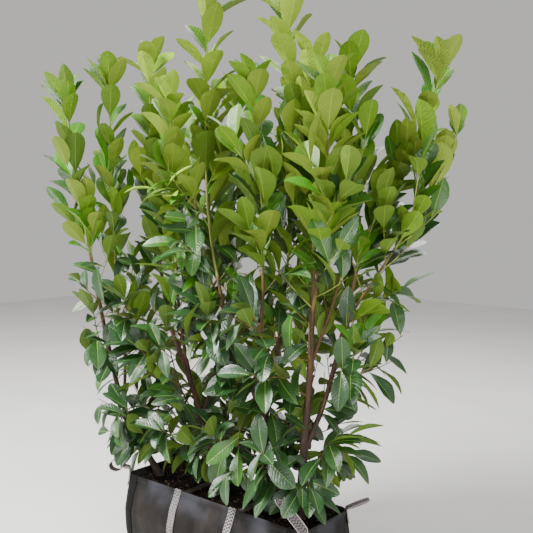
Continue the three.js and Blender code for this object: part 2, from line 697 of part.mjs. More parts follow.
const faceTurn = (turn) => Math.round(turn / FACE_TURN) * FACE_TURN;

function leafLength(height) {
  return mix(LEAF_LENGTH.low, LEAF_LENGTH.high, THREE.MathUtils.smoothstep(height, 700, 1800));
}

// Tries a leaf at a node in a few sizes, tilts and turns, the usual ones first
function placeLeaf(mass, grown, node, turn) {
  const { habit, random } = mass;
  const usual = leafLength(node.place.z) * mix(...LEAF_SIZES, random());
  const tilt = habit.leafAngle * mix(...LEAF_TILTS, random());
  const droop = habit.droop * mix(...LEAF_DROOPS, random());
  for (const size of TRIED_SIZES) {
    for (const lean of TRIED_TILTS) {
      for (const tried of TRIED_TURNS) {
        const along = branching(node, faceTurn(turn) + tried, tilt * lean);
        along.z -= droop;
        along.normalize();
        const upper = node.run.clone().add(vector([0, 0, LEAF_LIFT]));
        const leaf = leafFrame(node.place, along, upper, usual * size);
        leaf.places = bladePlaces(leaf);
        if (!leafFits(mass, grown, node.line, leaf.places)) continue;
        leaf.form = blade(leaf);
        if (crosses(leaf.form, grown.blades)) continue;
        grown.blades.push(leaf);
        return;
      }
    }
  }
}

// A straight twig with leaves on alternate sides and one that ends it
function placeTwig(mass, grown, node, turn) {
  const { habit, random } = mass;
  const length = habit.twigLength * mix(...TWIG_LENGTHS, random());
  for (const tried of TRIED_TURNS) {
    const run = branching(node, faceTurn(turn) + tried, habit.twigAngle);
    run.add(vector([0, 0, TWIG_RISE])).normalize();
    const at = (distance) => node.place.clone().addScaledVector(run, distance);
    const places = [0.2, 0.4, 0.6, 0.8, 1].map((share) => at(length * share));
    if (!places.every((place) => inSpace(mass, place))) continue;
    const line = [node.place, at(length)];
    const aside = asideOf(run);
    grown.twigs.push({ ends: line, aside });
    const first = random() * 360;
    for (let far = habit.leafStep, k = 0; far < length - TIP_INSET; far += habit.leafStep, k += 1) {
      placeLeaf(mass, grown, { place: at(far), run, aside, line }, first + k * TURN);
    }
    placeLeaf(mass, grown, { place: at(length - TIP_INSET), run, aside, line }, first + TWIG_END_TURN);
    return;
  }
}

// The growing rule of a mass: a leaf at each node of its stem, with a side twig at every few nodes
// of the lower share, and a cluster of upright leaves at the tip
function grow(mass) {
  const { habit, curve, aside, home, random } = mass;
  const grown = { twigs: [], blades: [] };
  const length = curve.getLength();
  const nodeAt = (share) =>
    ({ place: curve.getPointAt(share), run: curve.getTangentAt(share), aside, line: home });
  const upright = { ...mass, habit: { ...habit, leafAngle: TIP_LEAF_ANGLE } };
  for (const k of TIP_LEAVES) {
    const node = nodeAt(1 - (TIP_INSET + k * TIP_LEAF_STEP) / length);
    placeLeaf(upright, grown, node, random() * 40 + k * TURN);
  }
  let turn = random() * 360;
  for (let far = habit.firstNode, k = 0; far < length - BARE_TIP; far += habit.leafStep, k += 1) {
    const twiggy = far / length < habit.twigShare && k % habit.twigEvery === 0;
    const place = twiggy ? placeTwig : placeLeaf;
    place(mass, grown, nodeAt(far / length), turn);
    turn += TURN + mix(-TURN_SPREAD, TURN_SPREAD, random());
  }
  return grown;
}

// Leaves past a mass's most are thinned evenly, so that none of its sides goes bare
function thinned(blades, most) {
  if (blades.length <= most) return blades;
  return Array.from({ length: most }, (_, i) => blades[Math.floor((i * blades.length) / most)]);
}

function foliage(mass) {
  const grown = grow(mass);
  const stemAt = (share) => mix(...mass.habit.stemThick, share);
  const twigAt = (share) => mix(...TWIG_THICK, share);
  const parts = [solid(tapered(mass.curve, stemAt, STEM_SIDES, STEM_STEPS, mass.aside))];
  for (const { ends, aside } of grown.twigs) {
    parts.push(solid(tapered(new THREE.LineCurve3(...ends), twigAt, STEM_SIDES, 1, aside)));
  }
  const leaves = thinned(grown.blades, mass.habit.mostLeaves);
  parts.push(...leaves.map((leaf) => leaf.form));
  const joined = wasm.Manifold.union(parts);
  return largest(mass.along ? joined : joined.subtract(clearanceOf(mass.limb)), LEAF_EVENNESS);
}

addPiece("planting_bag", plantingBag(), "bag");
addPiece("compost", compost(), "compost");
for (const [name, place] of Object.entries(STRAP_PLACES)) addPiece(name, girthStrap(place), "webbing");
for (const [name, size] of Object.entries(LOOPS)) addPiece(name, liftingLoop(size), "loop");
addLimbs();
for (const mass of masses) addPiece(mass.name, foliage(mass), `${mass.kind}Leaves`);

export default hedge;
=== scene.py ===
"""Cherry laurel instant hedge in a long planting bag: its growth, finishes, light and view.

Tables of sizes are in millimetres, in the frame of the solids, and meshes are made in metres.
"""
from __future__ import annotations

import json
import logging
import math
from dataclasses import dataclass, field
from enum import Enum

import bpy
import numpy as np
from bpy.types import Material, Mesh, NodeSocket, NodeTree, Object
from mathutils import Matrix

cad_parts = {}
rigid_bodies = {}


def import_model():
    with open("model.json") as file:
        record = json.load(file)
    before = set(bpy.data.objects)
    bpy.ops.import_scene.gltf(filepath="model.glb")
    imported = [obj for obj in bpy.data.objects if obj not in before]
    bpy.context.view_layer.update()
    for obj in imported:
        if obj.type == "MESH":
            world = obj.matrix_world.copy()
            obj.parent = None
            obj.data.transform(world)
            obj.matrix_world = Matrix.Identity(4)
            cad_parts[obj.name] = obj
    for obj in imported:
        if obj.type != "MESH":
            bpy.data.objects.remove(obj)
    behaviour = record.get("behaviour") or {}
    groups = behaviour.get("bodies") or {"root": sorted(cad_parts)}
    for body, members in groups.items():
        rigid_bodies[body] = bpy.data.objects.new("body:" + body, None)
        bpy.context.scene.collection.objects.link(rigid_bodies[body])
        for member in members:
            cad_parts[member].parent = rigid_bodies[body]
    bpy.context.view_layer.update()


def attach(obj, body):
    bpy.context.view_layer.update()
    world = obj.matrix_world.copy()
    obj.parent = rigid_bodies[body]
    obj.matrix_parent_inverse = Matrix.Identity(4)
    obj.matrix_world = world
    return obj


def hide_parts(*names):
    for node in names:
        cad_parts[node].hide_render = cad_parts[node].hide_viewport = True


LOG = logging.getLogger("hedge")
MM = 0.001
BODY = "root"
UP = np.array([0.0, 0.0, 1.0])
Array = np.ndarray
Colour = tuple[float, float, float, float]
Faces = list[tuple[int, ...]]
Part = tuple[Array, Faces]


# Sockets and graphs


class Value:
    """A socket of a node graph that takes part in arithmetic."""

    def __init__(self, graph: Graph, socket: NodeSocket) -> None:
        """Keeps the socket with the graph that it belongs to."""
        self.graph = graph
        self.socket = socket

    def math(self, operation: str, *others: Value | float,
             first: Value | float | None = None) -> Value:
        """Adds a Math node on this value, or on first where it is given, and the others."""
        operands = dict(enumerate([self if first is None else first, *others]))
        return self.graph.add("ShaderNodeMath", {"operation": operation}, operands)

    def __add__(self, other: Value | float) -> Value:
        """Sum."""
        return self.math("ADD", other)

    __radd__ = __add__

    def __sub__(self, other: Value | float) -> Value:
        """Difference."""
        return self.math("SUBTRACT", other)

    def __rsub__(self, other: float) -> Value:
        """Difference from a number."""
        return self.math("SUBTRACT", self, first=other)

    def __mul__(self, other: Value | float) -> Value:
        """Product."""
        return self.math("MULTIPLY", other)

    __rmul__ = __mul__

    def __abs__(self) -> Value:
        """Size without sign."""
        return self.math("ABSOLUTE")

    def fraction(self) -> Value:
        """The part after the point."""
        return self.math("FRACT")

    def sine(self) -> Value:
        """Sine of an angle in radians."""
        return self.math("SINE")

    def ramp(self, low: float, high: float) -> Value:
        """Smooth rise from 0 at low to 1 at high, which may be under low."""
        settings = {"interpolation_type": "SMOOTHSTEP"}
        return self.graph.add("ShaderNodeMapRange", settings, {0: self, 1: low, 2: high})


class Graph:
    """A node tree that nodes are added to by type, settings and inputs."""

    def __init__(self, tree: NodeTree) -> None:
        """Keeps the tree."""
        self.tree = tree

    def add(self, kind: str, settings: dict | None = None, inputs: dict | None = None,
            output: int | str = 0) -> Value:
        """Adds a node.

        Args:
            kind: the node's type.
            settings: its properties, set before its sockets.
            inputs: values and links by the name or the number of the socket.
            output: the output that is wanted.

        Returns:
            That output.
        """
        node = self.tree.nodes.new(kind)
        for key, value in (settings or {}).items():
            setattr(node, key, value)
        for key, value in (inputs or {}).items():
            if isinstance(value, Value):
                self.tree.links.new(value.socket, node.inputs[key])
            else:
                node.inputs[key].default_value = value
        return Value(self, node.outputs[output])


class Paint(Graph):
    """A material's node tree, ending in one glossy or dull surface."""

    def __init__(self, name: str) -> None:
        """Starts a material of that name with a surface shader."""
        self.material = bpy.data.materials.new(name)
        self.material.use_nodes = True
        super().__init__(self.material.node_tree)
        self.surface = self.tree.nodes["Principled BSDF"]

    def blend(self, factor: Value | float, low: Value | Colour, high: Value | Colour) -> Value:
        """Mixes two colours: low where the factor is 0, high where it is 1."""
        settings = {"data_type": "RGBA", "clamp_factor": True}
        return self.add("ShaderNodeMix", settings, {0: factor, 6: low, 7: high}, 2)

    def place(self) -> Value:
        """The place on the object."""
        return self.add("ShaderNodeTexCoord", output="Object")

    def stretched(self, scale: tuple[float, float, float]) -> Value:
        """The place on the object, scaled along each axis."""
        return self.add("ShaderNodeMapping", None, {"Vector": self.place(), "Scale": scale})

    def noise(self, scale: float, detail: float = 3.0, place: Value | None = None) -> Value:
        """Noise over the object, about 0.5 on average, read at another place if one is given."""
        inputs = {"Vector": place or self.place(), "Scale": scale, "Detail": detail}
        return self.add("ShaderNodeTexNoise", None, inputs, "Fac")

    def axes(self, source: Value) -> tuple[Value, Value, Value]:
        """Splits a vector.

        Args:
            source: the vector.

        Returns:
            Its three parts.
        """
        node = self.tree.nodes.new("ShaderNodeSeparateXYZ")
        self.tree.links.new(source.socket, node.inputs[0])
        return tuple(Value(self, node.outputs[i]) for i in range(3))

    def finish(self, colour: Value | Colour, roughness: Value | float, bump: Value | None = None,
               depth: float = 0.001, strength: float = 0.5, **constants: float) -> Material:
        """Connects the surface.

        Args:
            colour: base colour.
            roughness: roughness.
            bump: relief, if there is any.
            depth: height of the relief in metres.
            strength: strength of the relief.
            constants: other sockets of the surface, with underscores for spaces.

        Returns:
            The material.
        """
        for name, value in {"Base Color": colour, "Roughness": roughness}.items():
            if isinstance(value, Value):
                self.tree.links.new(value.socket, self.surface.inputs[name])
            else:
                self.surface.inputs[name].default_value = value
        for name, value in constants.items():
            self.surface.inputs[name.replace("_", " ")].default_value = value
        if bump is not None:
            relief = {"Height": bump, "Distance": depth, "Strength": strength}
            normal = self.add("ShaderNodeBump", None, relief)
            self.tree.links.new(normal.socket, self.surface.inputs["Normal"])
        return self.material


# Finishes


@dataclass(frozen=True)
class LeafFinish:
    """Plain colours of the two sides and the midrib of a spray's leaves, with their gloss."""

    name: str
    upper: Colour
    under: Colour
    midrib: Colour
    gloss: float

    SIDE_VEINS = 11
    VEIN_SLANT = 0.22
    VEIN_RELIEF = 0.24
    UNEVEN_GLOSS = 0.16

    def materials(self) -> list[Material]:
        """Upper side, underside and midrib, in this order."""
        shiny = self.side("upper", self.upper, 0.5 - 0.18 * self.gloss, 0.42 * self.gloss,
                          0.26 + 0.26 * self.gloss)
        dull = self.side("under", self.under, 0.6, 0.0, 0.22)
        return [shiny, dull, self.side("midrib", self.midrib, 0.5, 0.0, 0.3)]

    def side(self, part: str, colour: Colour, roughness: float, coat: float,
             gleam: float) -> Material:
        """Makes the finish of one side.

        Args:
            part: which side it is.
            colour: its plain base colour.
            roughness: how dull it is.
            coat: weight of the waxy coat.
            gleam: strength of the reflection under the coat.

        Returns:
            The material, with side veins and unevenness in its relief and its gloss.
        """
        paint = Paint(f"{self.name}_{part}")
        across, along, _ = paint.axes(paint.add("ShaderNodeUVMap", {"uv_map": LeafForm.BLADE}))
        off = abs(across - 0.5) * 2
        course = ((along - off * self.VEIN_SLANT) * self.SIDE_VEINS).fraction()
        side_veins = abs(course - 0.5).ramp(0.32, 0.0) * off.ramp(1.0, 0.75)
        swell = paint.noise(30.0, 2.0)
        relief = swell * 2.0 - side_veins * self.VEIN_RELIEF
        rough = paint.noise(60.0, 2.0) * self.UNEVEN_GLOSS + (roughness - self.UNEVEN_GLOSS / 2)
        return paint.finish(colour, rough, relief, depth=0.0035, strength=0.65,
                            Coat_Weight=coat, Coat_Roughness=0.38, Specular_IOR_Level=gleam)


@dataclass(frozen=True)
class BarkFinish:
    """Bark that turns from brown at the foot to green in the crown."""

    name: str
    low: Colour
    middle: Colour
    high: Colour
    heights: tuple[float, float, float] = (0.5, 0.95, 1.45)
    roughness: float = 0.7

    STREAKS = (1.0, 1.0, 0.16)
    PORES = (1.0, 1.0, 0.55)

    def material(self) -> Material:
        """Streaked bark with pale breathing pores and a colour that follows the height."""
        paint = Paint(self.name)
        _, _, height = paint.axes(paint.place())
        level = height + (paint.noise(9.0, 3.0) - 0.5) * 0.5
        lower = paint.blend(level.ramp(*self.heights[:2]), self.low, self.middle)
        return self.dressed(paint, paint.blend(level.ramp(*self.heights[1:]), lower, self.high))

    def dressed(self, paint: Paint, ground: Value | Colour) -> Material:
        """Streaks and pores over a ground.

        Args:
            paint: the material's tree.
            ground: the colour that they lie on.

        Returns:
            The material.
        """
        streaks = paint.noise(26.0, 4.0, paint.stretched(self.STREAKS))
        shaded = paint.blend(streaks.ramp(0.62, 0.38) * 0.72, ground, toned(self.low, 0.4))
        pores = paint.noise(170.0, 1.0, paint.stretched(self.PORES)).ramp(0.66, 0.74)
        dotted = paint.blend(pores * 0.5, shaded, toned(self.middle, 2.0, 0.04))
        relief = streaks + pores * 0.6
        return paint.finish(dotted, self.roughness, relief, depth=0.002, strength=0.6)


@dataclass(frozen=True)
class TwigFinish(BarkFinish):
    """Bark of twigs that are joined in one piece, of one colour without regard to height."""

    def material(self) -> Material:
        """Streaks and pores over the middle colour."""
        return self.dressed(Paint(self.name), self.middle)


@dataclass(frozen=True)
class BagFinish:
    """Coated bag cloth: fine weave, dusty streaks, a dull sheen and a painted sky reflection."""

    name: str
    cloth: Colour
    dust: Colour
    # colour of the painted bluish reflection under the rim
    painted_reflection: Colour

    THREADS = 2400.0
    STREAKS = (1.0, 1.0, 0.1)
    SCUFFS = (0.5, 0.5, 1.0)

    def material(self) -> Material:
        """Fine weave, upright streaks, dust at the foot and a painted bluish reflection under the
        rim.
        """
        paint = Paint(self.name)
        side, depth, height = paint.axes(paint.place())
        weave = ((side + depth) * self.THREADS).sine() * (height * self.THREADS).sine()
        streaks = paint.noise(16.0, 5.0, paint.stretched(self.STREAKS))
        clouds = paint.noise(6.0, 5.0)
        scuffs = paint.noise(70.0, 3.0, paint.stretched(self.SCUFFS)).ramp(0.62, 0.72)
        dusty = streaks.ramp(0.45, 0.72) * 0.4 + clouds.ramp(0.42, 0.7) * 0.35 + scuffs * 0.25
        low = height.ramp(0.14, 0.0) * 0.4
        # painted reflection: a bluish sheen in patches just under the rim, painted into the base
        # colour
        painted_reflection = height.ramp(0.225, 0.325) * clouds.ramp(0.38, 0.6) * 0.7
        colour = paint.blend(painted_reflection, paint.blend(dusty + low, self.cloth, self.dust), self.painted_reflection)
        rough = clouds * 0.24 + 0.42
        return paint.finish(colour, rough, weave * 0.12 + streaks, depth=0.0018, strength=0.4,
                            Specular_IOR_Level=0.2)


@dataclass(frozen=True)
class WebbingFinish:
    """Flat woven webbing with a herringbone face, soiled where it lies on compost."""

    name: str
    pale: Colour
    dark: Colour
    edge: Colour
    soil: Colour
    soiled: float = 0.0

    RIBS_PER_METRE = 76.0
    SLANT = 0.8

    def material(self) -> Material:
        """Herringbone rows along the webbing, pale selvedges and soil in the hollows."""
        paint = Paint(self.name)
        across, along, _ = paint.axes(paint.add("ShaderNodeUVMap", {"uv_map": Webbing.WEAVE}))
        rows = abs((across * 2.0).fraction() - 0.5) * 2
        course = along * self.RIBS_PER_METRE + rows * self.SLANT
        ribs = (course * (2 * math.pi)).sine() * 0.5 + 0.5
        selvedge = abs(across - 0.5).ramp(0.42, 0.46)
        worn = paint.noise(110.0, 4.0)
        ground = paint.blend(ribs.ramp(0.3, 0.75) * 0.9 + (worn - 0.5) * 1.2, self.dark, self.pale)
        edged = paint.blend(selvedge * 0.8, ground, self.edge)
        _, depth, height = paint.axes(paint.place())
        inside = abs(depth).ramp(0.158, 0.135) * height.ramp(0.25, 0.3)
        soil = (paint.noise(38.0, 5.0).ramp(0.3, 0.6) * 0.45 + 0.5) * inside * self.soiled
        colour = paint.blend(soil + worn.ramp(0.55, 0.8) * 0.2, edged, self.soil)
        return paint.finish(colour, 0.8, ribs + selvedge, depth=0.0009, strength=0.7)


@dataclass(frozen=True)
class CompostFinish:
    """Dark fibrous compost with a few paler bits."""

    name: str
    dark: Colour
    brown: Colour
    pale: Colour

    def material(self) -> Material:
        """Clumped browns with fine relief."""
        paint = Paint(self.name)
        clumps = paint.noise(45.0, 6.0)
        bits = paint.noise(190.0, 2.0).ramp(0.66, 0.72)
        ground = paint.blend(clumps.ramp(0.35, 0.7), self.dark, self.brown)
        colour = paint.blend(bits * 0.5, ground, self.pale)
        return paint.finish(colour, 0.95, clumps + bits * 0.3, depth=0.006, strength=0.8,
                            Specular_IOR_Level=0.1)


@dataclass(frozen=True)
class PlainFinish:
    """One even colour with a slight unevenness, for thread, crumbs and the floor."""

    name: str
    colour: Colour
    roughness: float
    grain: float = 40.0
    gleam: float = 0.4

    def material(self) -> Material:
        """The colour, a little darker and lighter in patches."""
        paint = Paint(self.name)
        patches = paint.noise(self.grain, 2.0)
        colour = paint.blend(patches * 0.5, self.colour, toned(self.colour, 0.7))
        return paint.finish(colour, self.roughness, patches, depth=0.0006, strength=0.2,
                            Specular_IOR_Level=self.gleam)


def shade(red: int, green: int, blue: int) -> Colour:
    """Turns a colour seen on a screen, 0 to 255 each, into the light that it gives.

    Args:
        red: red.
        green: green.
        blue: blue.

    Returns:
        The linear colour.
    """
    parts = [part / 255 for part in (red, green, blue)]
    linear = [p / 12.92 if p <= 0.04045 else ((p + 0.055) / 1.055) ** 2.4 for p in parts]
    return (*linear, 1.0)


def toned(colour: Colour, share: float, lift: float = 0.0) -> Colour:
    """A colour at a share of its light, lifted by a little."""
    return (*(min(1.0, share * part + lift) for part in colour[:3]), 1.0)


# Lines and frames


def unit(vector: Array) -> Array:
    """The vector at length 1."""
    return vector / max(float(np.linalg.norm(vector)), 1e-9)


def square_to(run: Array, aside: Array) -> Array:
    """The part of a sideways direction that is square to a run."""
    return unit(aside - run * float(np.dot(aside, run)))


def aside_of(way: Array) -> Array:
    """A sideways direction for a way that something runs."""
    upright = abs(way[2]) > 0.9 * np.linalg.norm(way)
    return unit(np.cross(way, [1.0, 0.0, 0.0] if upright else UP))


class Line:
    """A smooth line through space, with places at even shares of its length."""

    SPAN_POINTS = 60
    BOW_POINTS = 80

    def __init__(self, points: Array) -> None:
        """Keeps close-set points of the line and how far along each lies."""
        self.points = points
        steps = np.linalg.norm(np.diff(points, axis=0), axis=1)
        self.run_to = np.concatenate([[0.0], np.cumsum(steps)])
        self.length = float(self.run_to[-1])

    @classmethod
    def through(cls, corners: list) -> Line:
        """A line through corners, rounded by their spacing.

        Args:
            corners: the points that it passes through.

        Returns:
            The line.
        """
        given = [np.array(corner, float) for corner in corners]
        padded = [2 * given[0] - given[1], *given, 2 * given[-1] - given[-2]]
        points = []
        for i in range(len(given) - 1):
            four = padded[i:i + 4]
            knots = np.concatenate([[0.0], np.cumsum([
                np.linalg.norm(b - a) ** 0.5 for a, b in zip(four, four[1:])])])
            last = i == len(given) - 2
            for t in np.linspace(knots[1], knots[2], cls.SPAN_POINTS, endpoint=last):
                level = four
                for width in (1, 2, 3):
                    spans = [(k, k + width) for k in range(4 - width)] if width != 3 else [(1, 2)]
                    level = [
                        (a * (knots[hi] - t) + b * (t - knots[lo])) / (knots[hi] - knots[lo])
                        for a, b, (lo, hi) in zip(level, level[1:], spans)]
                points.append(level[0])
        return cls(np.array(points))

    @classmethod
    def bowed(cls, start: Array, bend: Array, turn: Array, tip: Array) -> Line:
        """A line from start to tip that sets out towards bend and arrives from turn.

        Args:
            start: where it starts.
            bend: the point that it sets out towards.
            turn: the point that it arrives from.
            tip: where it ends.

        Returns:
            The line.
        """
        t = np.linspace(0, 1, cls.BOW_POINTS)[:, None]
        points = ((1 - t) ** 3 * start + 3 * (1 - t) ** 2 * t * bend
                  + 3 * (1 - t) * t ** 2 * turn + t ** 3 * tip)
        return cls(points)

    def at(self, share: float) -> Array:
        """The place at a share of the length."""
        far = np.clip(share, 0, 1) * self.length
        return np.array([np.interp(far, self.run_to, self.points[:, k]) for k in range(3)])

    def run(self, share: float) -> Array:
        """The way that the line runs at a share of its length."""
        return unit(self.at(min(share + 0.01, 1)) - self.at(max(share - 0.01, 0)))

    def even(self, count: int) -> Array:
        """Points at even steps, count steps in all."""
        return np.array([self.at(k / count) for k in range(count + 1)])


def far_from(points: Array, starts: Array, ends: Array) -> Array:
    """Distances from points to straight spans.

    Args:
        points: the points, one in a row.
        starts: where the spans start.
        ends: where they end.

    Returns:
        A row of distances for each point.
    """
    way = ends - starts
    square = np.maximum((way ** 2).sum(1), 1e-9)
    share = np.einsum("psk,sk->ps", points[:, None] - starts, way) / square
    near = starts + np.clip(share, 0, 1)[..., None] * way
    return np.linalg.norm(points[:, None] - near, axis=2)


# Meshes


def piece_of(name: str, mesh: Mesh, material: Material | None = None) -> Object:
    """Puts a mesh in the scene.

    Args:
        name: the piece's name.
        mesh: its mesh.
        material: its finish, if the mesh hasn't got one.

    Returns:
        The object.
    """
    mesh.name = name
    if material:
        mesh.materials.append(material)
    made = bpy.data.objects.new(name, mesh)
    bpy.context.scene.collection.objects.link(made)
    return made


def mesh_of(points: Array, faces: Faces, smooth: bool = True) -> Mesh:
    """Makes a mesh.

    Args:
        points: its points in millimetres.
        faces: rows of point numbers.
        smooth: whether its faces are shaded as one surface.

    Returns:
        The mesh, in metres.
    """
    mesh = bpy.data.meshes.new("mesh")
    mesh.from_pydata((points * MM).tolist(), [], faces)
    mesh.shade_smooth() if smooth else mesh.shade_flat()
    mesh.update()
    return mesh


def grid_faces(rows: int, columns: int, closed: bool = False) -> Faces:
    """Faces between rows of points.

    Args:
        rows: how many rows of points.
        columns: how many points in a row.
        closed: whether a row comes round to its start.

    Returns:
        The faces.
    """
    return [(j * columns + k, j * columns + (k + 1) % columns,
             (j + 1) * columns + (k + 1) % columns, (j + 1) * columns + k)
            for j in range(rows - 1) for k in range(columns if closed else columns - 1)]


def tube_faces(rows: int, columns: int) -> Faces:
    """Faces round a tube, with one across each end."""
    last = (rows - 1) * columns
    ends = [tuple(range(columns - 1, -1, -1)), tuple(range(last, last + columns))]
    return grid_faces(rows, columns, closed=True) + ends


def turned_over(faces: Faces) -> Faces:
    """The faces seen from their other side."""
    return [tuple(reversed(face)) for face in faces]


def hand_over(piece: Object, slot: str, *nodes: str) -> None:
    """Lets a piece ride on the body in place of some of its nodes; the slot is not used."""
    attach(piece, BODY)
    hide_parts(*nodes)


def set_uv(mesh: Mesh, name: str, per_point: Array) -> None:
    """Gives a mesh a UV map.

    Args:
        mesh: the mesh.
        name: the map's name.
        per_point: two numbers for each point.
    """
    layer = mesh.uv_layers.new(name=name)
    corners = np.empty(len(mesh.loops), np.int32)
    mesh.loops.foreach_get("vertex_index", corners)
    layer.data.foreach_set("uv", per_point[corners].astype(np.float32).ravel())


# Growth tables


@dataclass(frozen=True)
class Limb:
    """A trunk from the compost, or a bough from a place along its parent."""

    name: str
    via: tuple
    tip: tuple
    thick: tuple[float, float]
    start: tuple | None = None
    parent: str | None = None
    at: float = 0.0
    flare: float = 0.0


COMPOST_TOP = 310.0
RIM = 340.0
FLARE_HEIGHT = 38.0

LIMBS = (
    Limb("trunk_left", ((-586, -84, 590), (-632, -148, 930)), (-662, -212, 1330), (14, 7),
         start=(-400, -38), flare=9),
    Limb("trunk_mid_left", ((-255, 10, 770), (-395, 20, 1010)), (-470, 26, 1310), (15, 7),
         start=(-50, 2), flare=10),
    Limb("trunk_mid_right", ((171, 0, 690), (10, 0, 950)), (-76, 0, 1240), (15, 7),
         start=(205, 2), flare=10),
    Limb("trunk_right", ((380, 0, 530), (412, 0, 880)), (428, 0, 1300), (18, 9),
         start=(370, 0), flare=12),
    Limb("bough_left_inner", ((-610, -66, 860), (-640, -78, 1040)), (-632, -94, 1280), (8, 5.5),
         parent="trunk_left", at=0.33),
    Limb("bough_left_back", ((-410, 130, 1010), (-505, 210, 1130)), (-560, 246, 1290), (8, 5.5),
         parent="trunk_mid_left", at=0.6),
    Limb("bough_mid_left_front", ((-262, -26, 960), (-262, -50, 1120)), (-252, -72, 1300),
         (8, 5.5), parent="trunk_mid_left", at=0.43),
    Limb("bough_mid_left_back", ((-190, 108, 830), (-198, 180, 1050)), (-212, 220, 1290), (8, 5.5),
         parent="trunk_mid_left", at=0.3),
    Limb("bough_mid_right_front", ((196, -40, 1010), (230, -64, 1150)), (250, -84, 1310), (8, 5.5),
         parent="trunk_mid_right", at=0.48),
    Limb("bough_mid_right_back", ((150, 100, 830), (128, 176, 1040)), (124, 222, 1290), (8, 5.5),
         parent="trunk_mid_right", at=0.33),
    Limb("bough_right_end", ((458, 42, 800), (508, 90, 1080)), (536, 128, 1290), (11, 7),
         parent="trunk_right", at=0.26),
    Limb("bough_right_side", ((560, 66, 1130), (640, 88, 1260)), (716, 108, 1380), (6, 4.5),
         parent="bough_right_end", at=0.5),
    Limb("bough_right_back", ((440, 50, 1060), (470, 84, 1190)), (490, 108, 1340), (7.5, 5),
         parent="trunk_right", at=0.62),
    Limb("bough_right_front", ((448, -30, 1140), (486, -54, 1240)), (524, -74, 1370), (7.5, 5),
         parent="trunk_right", at=0.72),
)


class Zone(Enum):
    """The parts of the crown that differ in habit and colour."""

    SHOOT = "shoot"
    UPPER = "upper"
    LOWER = "lower"


@dataclass(frozen=True)
class Mass:
    """A mass of foliage, on its limb's tip or at a share of its length; 1 is as dense as most."""

    name: str
    limb: str
    tip: tuple
    at: float | None = None
    airy: float = 1.0

    @property
    def zone(self) -> Zone:
        """The part of the crown that it belongs to."""
        return Zone(self.name.split("_")[0])


MASSES = (
    Mass("shoot_left", "trunk_left", (-733, -266, 1990), airy=1.4),
    Mass("shoot_left_inner", "bough_left_inner", (-603, -138, 2070), airy=1.5),
    Mass("shoot_left_back", "bough_left_back", (-622, 306, 1930), airy=1.4),
    Mass("shoot_mid_left", "trunk_mid_left", (-530, 35, 2150), airy=1.3),
    Mass("shoot_mid_left_front", "bough_mid_left_front", (-208, -136, 1950)),
    Mass("shoot_mid_left_back", "bough_mid_left_back", (-240, 292, 2000), airy=0.9),
    Mass("shoot_tall_left", "trunk_mid_right", (-120, 0, 2360)),
    Mass("shoot_mid_right_front", "bough_mid_right_front", (244, -130, 1965)),
    Mass("shoot_mid_right_back", "bough_mid_right_back", (120, 300, 1985), airy=0.85),
    Mass("shoot_tall_right", "trunk_right", (282, 0, 2285)),
    Mass("shoot_right_front", "bough_right_front", (584, -130, 1935)),
    Mass("shoot_right_back", "bough_right_back", (478, 160, 2045), airy=0.9),
    Mass("shoot_right_end", "bough_right_end", (820, 238, 2010)),
    Mass("shoot_right_side", "bough_right_side", (886, 252, 1815)),
    Mass("upper_front_left", "trunk_left", (-578, -262, 1080), 0.52),
    Mass("upper_end_left", "bough_left_inner", (-690, 60, 1290), 0.6),
    Mass("upper_back_left", "bough_left_inner", (-610, 205, 1020), 0.35),
    Mass("upper_front_mid_left", "trunk_mid_left", (-390, -240, 1150), 0.4),
    Mass("upper_back_mid_left", "bough_mid_left_back", (-70, 255, 1130), 0.4, airy=0.85),
    Mass("upper_front_middle", "trunk_mid_left", (-130, -240, 1040), 0.3),
    Mass("upper_front_mid_right", "trunk_mid_right", (110, -250, 1120), 0.55),
    Mass("upper_front_high", "trunk_mid_right", (10, -220, 1600), 0.9),
    Mass("upper_back_mid_right", "bough_mid_right_back", (270, 250, 1120), 0.45, airy=0.85),
    Mass("upper_front_right", "trunk_right", (350, -255, 1150), 0.5),
    Mass("upper_corner_right", "trunk_right", (560, -200, 1130), 0.6, airy=1.6),
    Mass("upper_back_right", "bough_right_end", (530, 255, 1060), 0.35),
    Mass("upper_end_right", "bough_right_end", (630, -10, 1010), 0.42, airy=1.5),
    Mass("lower_end_left", "trunk_left", (-560, 90, 740), 0.22, airy=0.8),
    Mass("lower_front_left", "trunk_left", (-482, -205, 640), 0.13),
    Mass("lower_back_left", "trunk_mid_left", (-380, 180, 700), 0.26, airy=0.8),
    Mass("lower_front_mid_left", "trunk_mid_left", (-210, -180, 640), 0.13),
    Mass("lower_back_mid_left", "trunk_mid_left", (-110, 180, 640), 0.16, airy=0.8),
    Mass("lower_front_mid_right", "trunk_mid_right", (70, -185, 640), 0.16),
    Mass("lower_back_mid_right", "trunk_mid_right", (170, 190, 640), 0.2, airy=0.85),
    Mass("lower_front_right", "trunk_right", (330, -185, 620), 0.14, airy=1.35),
    Mass("lower_back_right", "trunk_right", (420, 190, 620), 0.18),
    Mass("lower_end_right", "trunk_right", (530, -30, 660), 0.2, airy=1.7),
)


@dataclass(frozen=True)
class Habit:
    """How the twigs and leaves of a part of the crown stand, in millimetres and degrees."""

    twig_share: float
    twig_every: int
    leaf_step: float
    first_node: float
    twig_length: float
    twig_angle: float
    leaf_angle: float
    droop: float
    leaf_length: tuple[float, float]
    fold: float
    curl: float
    slender: float


HABITS = {
    Zone.SHOOT: Habit(0.56, 2, 30, 8, 180, 36, 38, 0.0, (164, 214), 0.32, 0.14, 0.3),
    Zone.UPPER: Habit(0.95, 1, 34, 24, 190, 58, 54, 0.32, (150, 200), 0.32, 0.2, 0.7),
    Zone.LOWER: Habit(0.95, 1, 30, 20, 175, 62, 62, 0.7, (150, 204), 0.28, 0.22, 0.6),
}
ZONE_TOPS = {Zone.LOWER: 830.0, Zone.UPPER: 1280.0, Zone.SHOOT: 9999.0}

